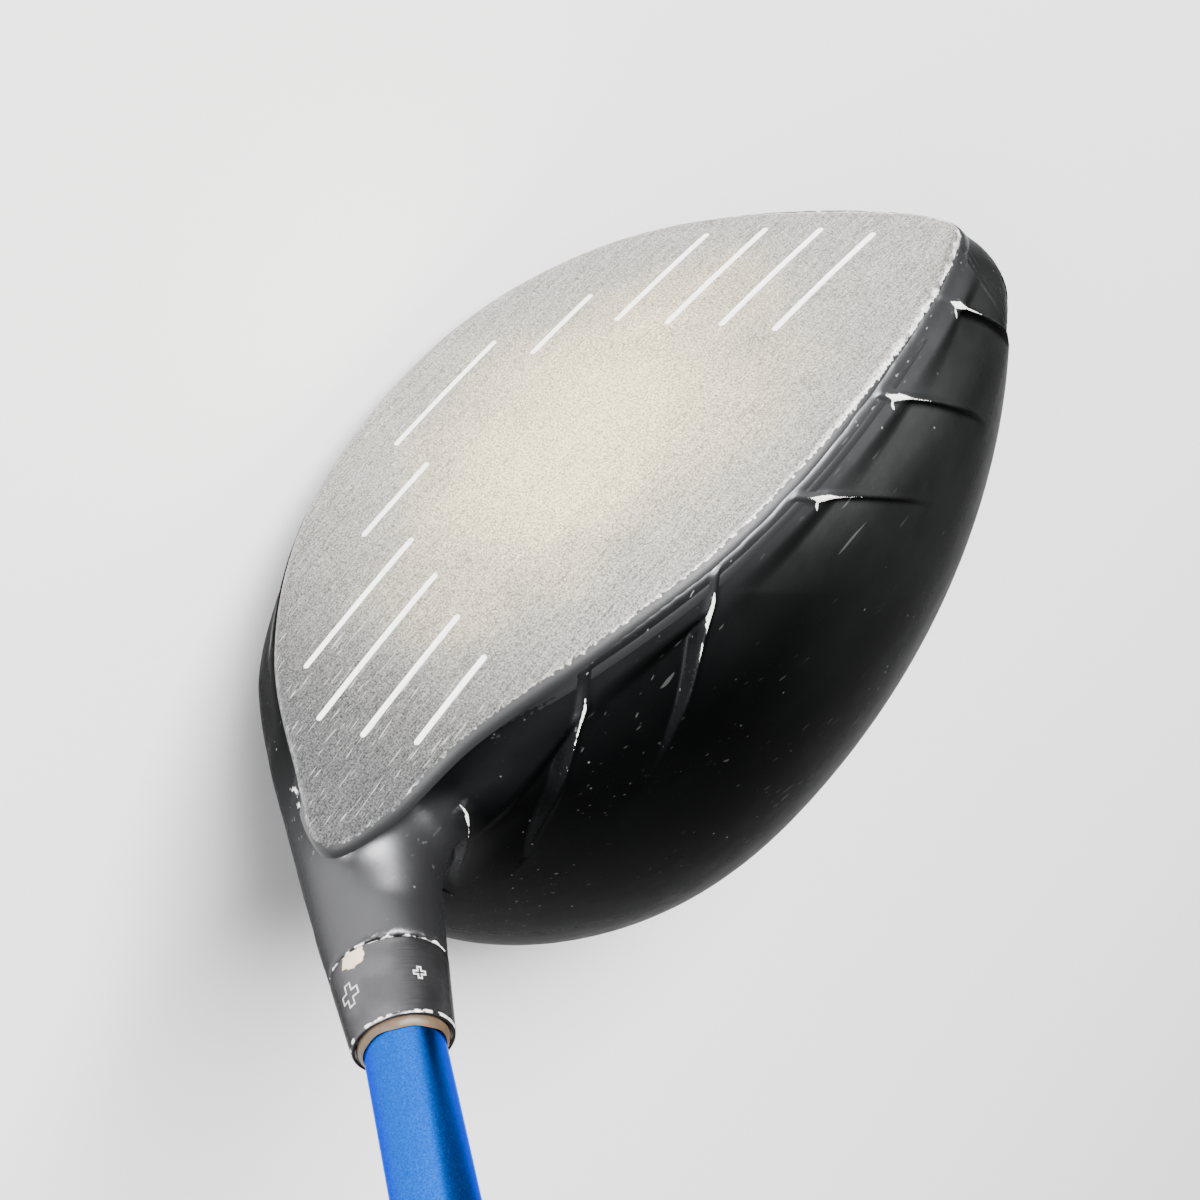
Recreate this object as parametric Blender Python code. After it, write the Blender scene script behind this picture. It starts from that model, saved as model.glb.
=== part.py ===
"""Adjustable golf driver, right-handed, in its address pose.

World frame, in metres: +Z up, the sole rests on z = 0, the face looks along -Y, the toe is at -X
and the shaft leans towards +X.  Shapes are worked out in the head's own frame, in millimetres,
whose origin is the centre of the face, and head_to_world() carries them to the world frame.
"""
import bpy
import bmesh
from math import atan2, cos, pi, radians, sin, sqrt
from mathutils import Matrix, Vector

MM = 0.001

# ---------------------------------------------------------------- driving dimensions (mm, degrees)
SOLE_REST_X, SOLE_REST_Y = 12.5, 36.0     # head-frame place of the world origin
FACE_CENTRE_HEIGHT = 31.8                 # face centre above the ground

LOFT = radians(8.9)
BULGE_RADIUS = 344.0
ROLL_RADIUS = 309.0
FACE_THICKNESS = 2.9
FACE_EDGE_ROUND = 1.2

FACE_HALF_WIDTH = 54.9
TOE_HALF_WIDTH, TOE_WIDEST_Y = 63.4, 36.0
HEEL_HALF_WIDTH, HEEL_WIDEST_Y = 51.4, 32.0
TAIL_Y, TAIL_Z = 97.3, -11.0
PLAN_POWER = 2.04
CROWN_TOP, CROWN_FRONT, CROWN_TOP_Y, CROWN_POWER = 30.75, 29.5, 18.0, 1.5
SOLE_LOW, SOLE_FRONT, SOLE_LOW_Y, SOLE_POWER = -31.2, -27.0, 34.0, 1.88
EQUATOR_FRONT, EQUATOR_TAIL = 0.76, 0.37  # widest level, as a share of the section's height
SHEAR_FRONT, SHEAR_TAIL = -0.12, -0.14    # the crown falls towards the heel
CROWN_ROUND_TOE, CROWN_ROUND_HEEL, SOLE_ROUND = 1.96, 1.76, 2.13
CROWN_BLEND, SOLE_BLEND = 13.0, 8.0       # depth over which the face outline melts into the body

CROWN_WALL = 1.0
BODY_WALL = 1.3
SEAM_GAP = 0.3
WELD_DISTANCE = 0.01
RIB_THICKNESS, RIB_LENGTH, RIB_SPACING = 1.2, 50.0, 14.0
HEAD_MIDDLE = (0.0, 44.0, 2.0)

SCORE_PITCH, SCORE_FIRST = 6.26, -18.7
SCORE_WIDTH, SCORE_DEPTH = 0.9, 0.45
CENTRE_SCORE_HALF = 9.8
SIDE_SCORES = (                            # inner end, outer end at the toe, outer end at the heel
    (9.9, 22.0, 22.3),
    (19.4, 38.3, 39.4),
    (21.8, 42.6, 43.5),
    (24.7, 45.9, 42.3),
    (27.1, 48.3, 39.7),
)

RIDGES = (                                 # tip x, tip y, end x, end y, bow, from the toe to the heel
    (-44.8, 11.3, -52.4, 24.0, 0.6),
    (-27.4, 9.7, -39.6, 25.0, 1.0),
    (-10.7, 9.7, -24.5, 24.0, 1.0),
    (7.3, 9.4, 22.4, 24.7, 1.0),
    (24.8, 10.2, 37.8, 28.4, 2.4),
    (40.8, 15.5, 45.2, 31.0, 0.8),
)
LIP_WIDTH = 4.2                            # full-height band behind the top line
RECESS_DEPTH = 1.5
RECESS_LENGTH = 20.0
PANEL_STRENGTH = (1.0, 0.8, 0.7, 1.0, 1.0, 0.8)   # how deep the panel on each ridge's heel side is
PANEL_REACH = 16.0

LIE = radians(57.5)
HOSEL_X, HOSEL_Y = 47.4, 17.9              # where the shaft's axis passes the face centre's height
HOSEL_TOP = 22.3                           # every "along" value below is measured up this axis
BORE_RADIUS = 5.5
BARREL_WALL_RADIUS = 8.3
BARREL_PROFILE = ((-5.0, 8.65), (10.4, 8.0), (17.0, 7.2))
CROWN_NOTCH = ((-40.0, 9.2), (-5.0, 9.2), (10.4, 8.4), (17.0, 7.6), (40.0, 7.6))  # its edge round the barrel
BARREL_SPLIT = 2.0                         # below this the barrel is trimmed level with the sole
POCKET_RADIUS = 6.7
POCKET_TOP = 8.3
SLEEVE_RADIUS = 5.2
SLEEVE_BOTTOM = -1.0
SLEEVE_FLOOR = 11.2
COLLAR_RADIUS, COLLAR_END_RADIUS, COLLAR_LENGTH = 6.53, 5.55, 9.4
SPLINES = 8
SPLINE_WIDTH, SLOT_WIDTH, SLOT_RADIUS = 1.3, 1.9, 4.1
INSERT_TOP, INSERT_BOTTOM = 8.0, -4.0
SCREW_RADIUS, SCREW_HEAD_RADIUS, SCREW_HEAD_HEIGHT = 2.5, 4.2, 3.5
SCREW_ENGAGED = 7.0                        # thread in the sleeve, and so how far the screw backs out
RUNNING_GAP = 0.15

TIP_RADIUS, BUTT_RADIUS = 4.37, 7.62       # 0.335 in tip with its paint, 0.600 in butt
SHAFT_START = SLEEVE_FLOOR + 0.5
CLUB_LENGTH = 1149.0                       # 45.25 in from the ground to the cap, along the shaft
GRIP_LENGTH = 267.0
GRIP_MOUTH_RADIUS, GRIP_TOP_RADIUS = 9.5, 13.4

WEIGHT_Y = 77.0                            # where the weight's axis meets the sole
WEIGHT_RADIUS, WEIGHT_THICKNESS = 9.0, 6.0
WEIGHT_TILT = radians(17.5)                # its axis leans back from straight down
PORT_DEPTH, PORT_WALL_RADIUS, PORT_WALL_DEPTH = 8.0, 11.2, 15.5
BUSH_RADIUS, BUSH_LENGTH = 4.0, 5.7

COLUMNS = 60
FRONT_ROWS = (0.0, 1.0, 2.2, 4.6, 8.0, 12.5)
BACK_ROWS = 10
ROUND_SEGMENTS = 24

FACE_OUTLINE = (                           # x, height on the face; toe tip, crown, heel tip, sole
    (-55.4, 19.6), (-50.0, 23.0), (-34.0, 26.8), (-13.0, 28.8),
    (4.0, 27.5), (20.0, 23.2), (36.0, 17.6), (49.0, 15.0),
    (54.9, 10.8), (49.5, 1.2), (40.0, -12.0), (25.0, -22.4),
    (4.0, -27.3), (-16.0, -25.5), (-34.0, -16.3), (-46.8, -0.7),
)


# ---------------------------------------------------------------- small helpers
def smooth(value):
    value = min(max(value, 0.0), 1.0)
    return value * value * (3.0 - 2.0 * value)


def signed_power(value, power):
    return (1.0 if value >= 0.0 else -1.0) * abs(value) ** power


def head_to_world(point):
    x, y, z = point
    return Vector((x - SOLE_REST_X, y - SOLE_REST_Y, z + FACE_CENTRE_HEIGHT)) * MM


def material(name, colour, roughness, metallic):
    made = bpy.data.materials.get(name)
    if made is None:
        made = bpy.data.materials.new(name)
        made.use_nodes = True
        shader = made.node_tree.nodes["Principled BSDF"]
        shader.inputs["Base Color"].default_value = (*colour, 1.0)
        shader.inputs["Roughness"].default_value = roughness
        shader.inputs["Metallic"].default_value = metallic
    return made


BLACK_PAINT = ("black_paint", (0.02, 0.02, 0.022), 0.45, 0.0)
TITANIUM = ("bare_titanium", (0.52, 0.49, 0.44), 0.42, 1.0)
BLACK_ANODISED = ("black_anodised", (0.03, 0.03, 0.033), 0.38, 0.6)
BLUE_LACQUER = ("blue_lacquer", (0.01, 0.10, 0.75), 0.18, 0.5)
BLACK_RUBBER = ("black_rubber", (0.02, 0.02, 0.02), 0.75, 0.0)
DARK_STEEL = ("dark_steel", (0.16, 0.16, 0.17), 0.35, 1.0)
TUNGSTEN = ("tungsten_plug", (0.30, 0.30, 0.31), 0.40, 1.0)
BRASS = ("brass", (0.60, 0.42, 0.16), 0.35, 1.0)
TAN_EPOXY = ("tan_epoxy", (0.42, 0.28, 0.15), 0.50, 0.0)
AMBER_RESIN = ("amber_resin", (0.55, 0.38, 0.16), 0.45, 0.0)
WHITE_NYLON = ("white_nylon", (0.75, 0.75, 0.72), 0.50, 0.0)
CREAM_TAPE = ("cream_tape", (0.72, 0.66, 0.52), 0.80, 0.0)


def make_object(name, mesh_data, finish=None, parent=None):
    """Link a bmesh as an object; one without a finish is a cutter."""
    bmesh.ops.recalc_face_normals(mesh_data, faces=mesh_data.faces)
    mesh = bpy.data.meshes.new(name)
    mesh_data.to_mesh(mesh)
    mesh_data.free()
    made = bpy.data.objects.new(name, mesh)
    bpy.context.scene.collection.objects.link(made)
    made.parent = parent
    if finish is None:
        made.hide_render = True
        made.display_type = "WIRE"
    else:
        made.data.materials.append(material(*finish))
    return made


def combine(target, tool, operation, keep_tool=False):
    """Apply one exact Boolean to target, and remove the tool unless it is needed again."""
    modifier = target.modifiers.new("combine", "BOOLEAN")
    modifier.operation = operation
    modifier.solver = "EXACT"
    modifier.object = tool
    bpy.context.view_layer.update()
    evaluated = target.evaluated_get(bpy.context.evaluated_depsgraph_get())
    result = bpy.data.meshes.new_from_object(evaluated)
    target.modifiers.clear()
    target.data = result
    if not keep_tool:
        bpy.data.objects.remove(tool)


def shade(target, angle=32.0):
    target.data.shade_smooth()
    target.data.set_sharp_from_angle(angle=radians(angle))


def skin(mesh_data, first, second):
    """Join two closed loops of equal length with quads, or a loop to a single vertex."""
    count = max(len(first), len(second))
    for index in range(count):
        after = (index + 1) % count
        corners = [first[index % len(first)], first[after % len(first)],
                   second[after % len(second)], second[index % len(second)]]
        unique = list(dict.fromkeys(corners))
        mesh_data.faces.new(unique)


def turned(name, profile, finish=None, parent=None, closed=False, segments=ROUND_SEGMENTS):
    """Turn a profile of (along, radius) pairs, in mm, around the parent's Z axis."""
    mesh_data = bmesh.new()
    loops = []
    for along, radius in profile:
        if radius == 0.0:
            loops.append([mesh_data.verts.new((0.0, 0.0, along * MM))])
            continue
        loops.append([mesh_data.verts.new((radius * cos(turn) * MM, radius * sin(turn) * MM, along * MM))
                      for turn in (2.0 * pi * k / segments for k in range(segments))])
    for first, second in zip(loops, loops[1:]):
        skin(mesh_data, first, second)
    if closed:
        skin(mesh_data, loops[-1], loops[0])
    made = make_object(name, mesh_data, finish, parent)
    if finish is not None:
        shade(made)
    return made


def tube_profile(low, high, inner, outer):
    return [(low, inner), (low, outer), (high, outer), (high, inner)]


def post_profile(low, high, radius):
    return [(low, 0.0), (low, radius), (high, radius), (high, 0.0)]


def radial_bars(name, count, start, inner, outer, width, low, high, parent):
    """A ring of separate bars that point outwards from the parent's Z axis."""
    mesh_data = bmesh.new()
    for k in range(count):
        bar = bmesh.ops.create_cube(mesh_data, size=1.0)["verts"]
        size = ((outer - inner) * MM, width * MM, (high - low) * MM)
        place = Vector(((outer + inner) / 2.0 * MM, 0.0, (high + low) / 2.0 * MM))
        turn = Matrix.Rotation(start + 2.0 * pi * k / count, 4, "Z")
        bmesh.ops.scale(mesh_data, vec=size, verts=bar)
        bmesh.ops.transform(mesh_data, matrix=turn @ Matrix.Translation(place), verts=bar)
    return make_object(name, mesh_data, parent=parent)


def axis_empty(name, origin, direction):
    """An empty whose Z axis is a joint's axis."""
    made = bpy.data.objects.new(name, None)
    bpy.context.scene.collection.objects.link(made)
    made.location = origin
    made.rotation_mode = "QUATERNION"
    made.rotation_quaternion = direction.to_track_quat("Z", "Y")
    return made


# ---------------------------------------------------------------- the head's surface
def closed_spline(points, count):
    """A smooth closed curve through the points, sampled at even spacing."""
    corners = [Vector(point) for point in points]
    total = len(corners)
    knots = [sqrt((corners[(k + 1) % total] - corners[k]).length) for k in range(total)]
    slopes = []
    for k in range(total):
        before, after = knots[k - 1], knots[k]
        backward = (corners[k] - corners[k - 1]) / before
        forward = (corners[(k + 1) % total] - corners[k]) / after
        slopes.append((backward * after + forward * before) / (before + after))
    dense = []
    for k in range(total):
        start, end = corners[k], corners[(k + 1) % total]
        leave, arrive = slopes[k] * knots[k], slopes[(k + 1) % total] * knots[k]
        for step in range(24):
            t = step / 24.0
            dense.append(start * (1 + 2 * t) * (1 - t) ** 2 + leave * t * (1 - t) ** 2
                         + end * t * t * (3 - 2 * t) + arrive * t * t * (t - 1))
    lengths = [0.0]
    for first, second in zip(dense, dense[1:] + dense[:1]):
        lengths.append(lengths[-1] + (second - first).length)
    samples = []
    segment = 0
    for k in range(count):
        wanted = lengths[-1] * k / count
        while lengths[segment + 1] < wanted:
            segment += 1
        share = (wanted - lengths[segment]) / (lengths[segment + 1] - lengths[segment])
        samples.append(dense[segment].lerp(dense[(segment + 1) % len(dense)], share))
    return samples


def face_point(x, height):
    """The striking surface: bulge and roll on a plane tilted back by the loft."""
    sag = x * x / (2 * BULGE_RADIUS) + height * height / (2 * ROLL_RADIUS)
    return (x, height * sin(LOFT) + sag * cos(LOFT), height * cos(LOFT) - sag * sin(LOFT))


def face_depth(x, z):
    """The striking surface's y at a given x and z."""
    height = z / cos(LOFT)
    for _ in range(3):
        sag = x * x / (2 * BULGE_RADIUS) + height * height / (2 * ROLL_RADIUS)
        height = (z + sag * sin(LOFT)) / cos(LOFT)
    return height * sin(LOFT) + sag * cos(LOFT)


def swell(y, peak, front, peak_y, end, power):
    """A value that rises from front to peak, then falls to end at the tail like a superellipse."""
    if y <= peak_y:
        return peak - (peak - front) * ((peak_y - y) / peak_y) ** 2
    share = min((y - peak_y) / (TAIL_Y - peak_y), 1.0)
    return end + (peak - end) * (1.0 - share ** power) ** (1.0 / power)


def levels(y):
    """Crown, widest and sole heights of the section at y."""
    crown = swell(y, CROWN_TOP, CROWN_FRONT, CROWN_TOP_Y, TAIL_Z, CROWN_POWER)
    sole = swell(y, SOLE_LOW, SOLE_FRONT, SOLE_LOW_Y, TAIL_Z, SOLE_POWER)
    forward = 1.0 - min(max(y / TAIL_Y, 0.0), 1.0)
    share = EQUATOR_TAIL + (EQUATOR_FRONT - EQUATOR_TAIL) * forward ** 2
    return crown, sole + (crown - sole) * share, sole


def shear(y):
    return SHEAR_FRONT + (SHEAR_TAIL - SHEAR_FRONT) * min(max(y / TAIL_Y, 0.0), 1.0)


def section(y, angle):
    """x and z of the body's cross section at depth y; angle 0 is the heel, 90 degrees the crown."""
    crown, widest, sole = levels(y)
    across, up = cos(angle), sin(angle)
    if across >= 0.0:
        width = swell(y, HEEL_HALF_WIDTH, FACE_HALF_WIDTH, HEEL_WIDEST_Y, 0.0, PLAN_POWER)
    else:
        width = swell(y, TOE_HALF_WIDTH, FACE_HALF_WIDTH, TOE_WIDEST_Y, 0.0, PLAN_POWER)
    power = SOLE_ROUND
    if up >= 0.0:
        heel_share = across ** 2 if across > 0.0 else 0.0
        power = CROWN_ROUND_TOE + (CROWN_ROUND_HEEL - CROWN_ROUND_TOE) * heel_share
    x = width * signed_power(across, 2.0 / power)
    rise = crown - widest if up >= 0.0 else widest - sole
    return x, widest + rise * signed_power(up, 2.0 / power) + shear(y) * x


class Column:
    """One line of the head's surface, from the face outline back to the tail."""

    def __init__(self, outline_point):
        self.front = face_point(*outline_point)
        x, y, z = self.front
        self.angle = atan2((z - 16.0) / (13.5 if z > 16.0 else 43.0), x / 55.5)
        section_x, section_z = section(y, self.angle)
        self.offset = (x - section_x, z - section_z)
        crown_share = smooth((sin(self.angle) + 0.3) / 0.6)
        self.blend = SOLE_BLEND + (CROWN_BLEND - SOLE_BLEND) * crown_share

    def at(self, y):
        x, z = section(y, self.angle)
        keep = 1.0 - smooth((y - self.front[1]) / self.blend)
        return (x + keep * self.offset[0], y, z + keep * self.offset[1])


def ridge_x(ridge, y):
    """A crown ridge's x at depth y; the line bows outwards and runs straight on past its ends."""
    tip_x, tip_y, end_x, end_y, bulge = ridge
    share = (y - tip_y) / (end_y - tip_y)
    outwards = 1.0 if end_x > tip_x else -1.0
    bow = bulge * outwards * 4.0 * share * (1.0 - share) if 0.0 < share < 1.0 else 0.0
    return tip_x + (end_x - tip_x) * share + bow


def lip_width(x):
    return LIP_WIDTH + max(0.0, x - 22.0) * 0.38


def recess(x, y, behind):
    """Depth of the scooped panels, each deepest beside the heel flank of its ridge."""
    start = behind - lip_width(x)
    if start <= 0.0:
        return 0.0
    along = smooth(start / 1.2) * max(0.0, 1.0 - start / RECESS_LENGTH)
    lines = [ridge_x(ridge, y) for ridge in RIDGES]
    across = 0.6 * max(0.0, 1.0 - (lines[0] - x) / 9.0) if x < lines[0] else 0.0
    for line, following, strength in zip(lines, lines[1:] + [1000.0], PANEL_STRENGTH):
        if line <= x < following:
            reach = min(following - line, PANEL_REACH)
            across = strength * max(0.0, 1.0 - (x - line) / reach)
    return RECESS_DEPTH * along * across


COLUMN_SET = [Column(point) for point in closed_spline(FACE_OUTLINE, COLUMNS)]
SHELL_FRONT = FACE_THICKNESS + SEAM_GAP


def row_depths(column):
    """Depths of a column's points, close together behind the face and towards the tail."""
    first = column.front[1] + SHELL_FRONT
    rows = [first + step for step in FRONT_ROWS]
    last = rows[-1]
    for k in range(1, BACK_ROWS):
        rows.append(last + (TAIL_Y - last) * sin(pi / 2.0 * k / BACK_ROWS))
    return rows


def surface_grid(mesh_data, scooped):
    """Rows of vertices on the head's surface, closed at the tail; returns the front loop."""
    loops = []
    for row in range(len(FRONT_ROWS) + BACK_ROWS - 1):
        loop = []
        for column in COLUMN_SET:
            x, y, z = column.at(row_depths(column)[row])
            if scooped and column.angle > 0.0:
                z -= recess(x, y, y - column.front[1])
            loop.append(mesh_data.verts.new(head_to_world((x, y, z))))
        loops.append(loop)
    tail = mesh_data.verts.new(head_to_world((0.0, TAIL_Y, TAIL_Z)))
    for first, second in zip(loops, loops[1:]):
        skin(mesh_data, first, second)
    skin(mesh_data, loops[-1], [tail])
    return loops


def head_outer(name):
    """The head's outer form behind the face plate, as a closed solid."""
    mesh_data = bmesh.new()
    loop = surface_grid(mesh_data, scooped=True)[0]
    rim = [column.at(row_depths(column)[0]) for column in COLUMN_SET]
    for scale in (0.8, 0.55, 0.3, 0.0):
        points = [(x * scale, face_depth(x * scale, z * scale) + SHELL_FRONT, z * scale) for x, _, z in rim]
        if scale == 0.0:
            points = points[:1]
        inner = [mesh_data.verts.new(head_to_world(point)) for point in points]
        skin(mesh_data, loop, inner)
        loop = inner
    return make_object(name, mesh_data)


def head_hollow(name):
    """The space inside the shells, running out through the face opening."""
    mesh_data = bmesh.new()
    loops = surface_grid(mesh_data, scooped=False)
    bmesh.ops.recalc_face_normals(mesh_data, faces=mesh_data.faces)
    mesh_data.normal_update()
    inward = {}
    for row, loop in enumerate(loops):
        for column, vertex in zip(COLUMN_SET, loop):
            crown_share = smooth((sin(column.angle) + 0.2) / 0.4)
            behind = row_depths(column)[row] - column.front[1]
            ridge_share = smooth(sin(column.angle) / 0.4) * (1.0 - smooth((behind - 16.0) / 14.0))
            wall = BODY_WALL + (CROWN_WALL - BODY_WALL) * crown_share + RECESS_DEPTH * ridge_share
            normal = vertex.normal.copy()
            if row == 0:
                normal = Vector((normal.x, 0.0, normal.z)).normalized()
            inward[vertex] = vertex.co - normal * wall * MM
    tail = max(mesh_data.verts, key=lambda vertex: vertex.co.y)
    inward[tail] = tail.co - Vector((0.0, BODY_WALL * MM, 0.0))
    for vertex, place in inward.items():
        vertex.co = place
    ahead = Vector((0.0, -12.0 * MM, 0.0))
    front = [mesh_data.verts.new(vertex.co + ahead) for vertex in loops[0]]
    centre = mesh_data.verts.new(head_to_world((0.0, face_depth(0.0, 0.0) - 12.0, 0.0)))
    skin(mesh_data, loops[0], front)
    skin(mesh_data, front, [centre])
    return make_object(name, mesh_data)


def seam_block(name, above, clearance):
    """Everything above (or below) the seam that runs round the head's widest line."""
    mesh_data = bmesh.new()
    columns_x = [-75.0 + 10.0 * k for k in range(16)]
    rows_y = [-14.0 + 5.0 * k for k in range(26)]
    far = 70.0 if above else -70.0
    near_rows, far_rows = [], []
    for y in rows_y:
        level = levels(min(y, TAIL_Y - 0.01))[1]
        near_rows.append([mesh_data.verts.new(head_to_world((x, y, level + shear(y) * x + clearance)))
                          for x in columns_x])
        far_rows.append([mesh_data.verts.new(head_to_world((x, y, far))) for x in columns_x])
    for rows in (near_rows, far_rows):
        for first, second in zip(rows, rows[1:]):
            for k in range(len(columns_x) - 1):
                mesh_data.faces.new((first[k], first[k + 1], second[k + 1], second[k]))
    for near, far_row in ((near_rows[0], far_rows[0]), (near_rows[-1], far_rows[-1])):
        for k in range(len(columns_x) - 1):
            mesh_data.faces.new((near[k], near[k + 1], far_row[k + 1], far_row[k]))
    for side in (0, -1):
        for k in range(len(rows_y) - 1):
            mesh_data.faces.new((near_rows[k][side], near_rows[k + 1][side],
                                 far_rows[k + 1][side], far_rows[k][side]))
    return make_object(name, mesh_data)


def ridge_fins(name):
    """Six low fins along the crown, each rising from its tip and dying away behind."""
    mesh_data = bmesh.new()
    stations = (0.0, 0.12, 0.3, 0.5, 0.7, 0.85, 1.0)
    for ridge in RIDGES:
        tip_y, end_y = ridge[1], ridge[3]
        rings = []
        for share in stations:
            y = tip_y + (end_y - tip_y) * share
            x = ridge_x(ridge, y)
            top = crown_height(x, y) + 0.15 - 0.35 * smooth((share - 0.5) / 0.5)
            half = 0.25 + 0.75 * smooth(share / 0.3) * (1.0 - 0.7 * smooth((share - 0.6) / 0.4))
            rings.append([mesh_data.verts.new(head_to_world(point)) for point in (
                (x - half, y, top - 1.9), (x + half, y, top - 1.9),
                (x + half * 0.35, y, top), (x - half * 0.35, y, top))])
        for first, second in zip(rings, rings[1:]):
            skin(mesh_data, first, second)
        mesh_data.faces.new(rings[0])
        mesh_data.faces.new(rings[-1])
    return make_object(name, mesh_data)


def crown_height(x, y):
    """Height of the plain crown above a point of the plan."""
    low, high = 0.02, pi - 0.02
    for _ in range(40):
        middle = (low + high) / 2.0
        if section(y, middle)[0] > x:
            low = middle
        else:
            high = middle
    angle = (low + high) / 2.0
    nearest = min(COLUMN_SET, key=lambda column: abs(column.angle - angle))
    keep = 1.0 - smooth((y - nearest.front[1]) / nearest.blend)
    return section(y, angle)[1] + keep * nearest.offset[1]


# ---------------------------------------------------------------- face plate
def score_cutter(name):
    """Bars that follow the bulge, one for each score line."""
    segments = [(SCORE_FIRST, -CENTRE_SCORE_HALF, CENTRE_SCORE_HALF)]
    for row, (inner, toe, heel) in enumerate(SIDE_SCORES, start=1):
        height = SCORE_FIRST + SCORE_PITCH * row
        segments += [(height, -toe, -inner), (height, inner, heel)]
    mesh_data = bmesh.new()
    for height, start, end in segments:
        rings = []
        stations = [0.0, 0.25, 0.6] + [2.0 + (end - start - 4.0) * k / 5 for k in range(6)]
        stations += [end - start - 0.6, end - start - 0.25, end - start]
        for station in stations:
            edge = min(station, end - start - station)
            half = SCORE_WIDTH / 2.0 * sqrt(min(1.0, 0.15 + edge / 0.6))
            x = start + station
            bottom_low = face_point(x, height - half)
            bottom_high = face_point(x, height + half)
            rings.append([mesh_data.verts.new(head_to_world(point)) for point in (
                (x, bottom_low[1] + SCORE_DEPTH, bottom_low[2]),
                (x, bottom_high[1] + SCORE_DEPTH, bottom_high[2]),
                (x, bottom_high[1] - 1.0, bottom_high[2]),
                (x, bottom_low[1] - 1.0, bottom_low[2]))])
        for first, second in zip(rings, rings[1:]):
            skin(mesh_data, first, second)
        mesh_data.faces.new(rings[0])
        mesh_data.faces.new(rings[-1])
    return make_object(name, mesh_data)


def build_face_plate():
    mesh_data = bmesh.new()
    outline = closed_spline(FACE_OUTLINE, COLUMNS)
    loops = []
    for scale in (0.32, 0.64, 0.85):
        loops.append([face_point(x * scale, height * scale) for x, height in outline])
    across = 1.0 - FACE_EDGE_ROUND / FACE_HALF_WIDTH
    upward = 1.0 - FACE_EDGE_ROUND / 28.0
    loops.append([face_point(x * across, height * upward) for x, height in outline])
    corner = 0.3 * FACE_EDGE_ROUND
    rounded = []
    for x, height in outline:
        point = face_point(x * (1.0 - corner / FACE_HALF_WIDTH), height * (1.0 - corner / 28.0))
        rounded.append((point[0], point[1] + corner, point[2]))
    loops.append(rounded)
    for depth in (FACE_EDGE_ROUND, FACE_THICKNESS):
        loops.append([column.at(column.front[1] + depth) for column in COLUMN_SET])
    rim = loops[-1]
    for scale in (0.7, 0.35):
        loops.append([(x * scale, face_depth(x * scale, z * scale) + FACE_THICKNESS, z * scale)
                      for x, _, z in rim])
    placed = [[mesh_data.verts.new(head_to_world(point)) for point in loop] for loop in loops]
    for first, second in zip(placed, placed[1:]):
        skin(mesh_data, first, second)
    front = mesh_data.verts.new(head_to_world(face_point(0.0, 0.0)))
    back = mesh_data.verts.new(head_to_world((0.0, FACE_THICKNESS, 0.0)))
    skin(mesh_data, placed[0], [front])
    skin(mesh_data, placed[-1], [back])
    plate = make_object("face_plate", mesh_data, TITANIUM)
    combine(plate, score_cutter("score_cutter"), "DIFFERENCE")
    shade(plate)
    return plate


# ---------------------------------------------------------------- the two shells
HOSEL_DIRECTION = Vector((cos(LIE), 0.0, sin(LIE)))                     # up the shaft
WEIGHT_DIRECTION = Vector((0.0, -sin(WEIGHT_TILT), cos(WEIGHT_TILT)))   # into the head


def weight_point():
    return (0.0, WEIGHT_Y, levels(WEIGHT_Y)[2])


def barrel_radius(along):
    (low, low_radius), (high, high_radius) = BARREL_PROFILE[:2]
    return low_radius + (high_radius - low_radius) * (along - low) / (high - low)


def notch_cutter(name, inset, hosel):
    """The post round the barrel that the crown makes room for, or the body's share of it."""
    bottom, top = CROWN_NOTCH[0][0], CROWN_NOTCH[-1][0]
    outside = [(along, radius - inset) for along, radius in CROWN_NOTCH]
    return turned(name, [(bottom, 0.0)] + outside + [(top, 0.0)], parent=hosel)


def rescaled(target, factors):
    """Scale a cutter's points about the middle of the head."""
    middle = head_to_world(HEAD_MIDDLE)
    for vertex in target.data.vertices:
        offset = vertex.co - middle
        vertex.co = middle + Vector([value * factor for value, factor in zip(offset, factors)])
    return target


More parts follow.
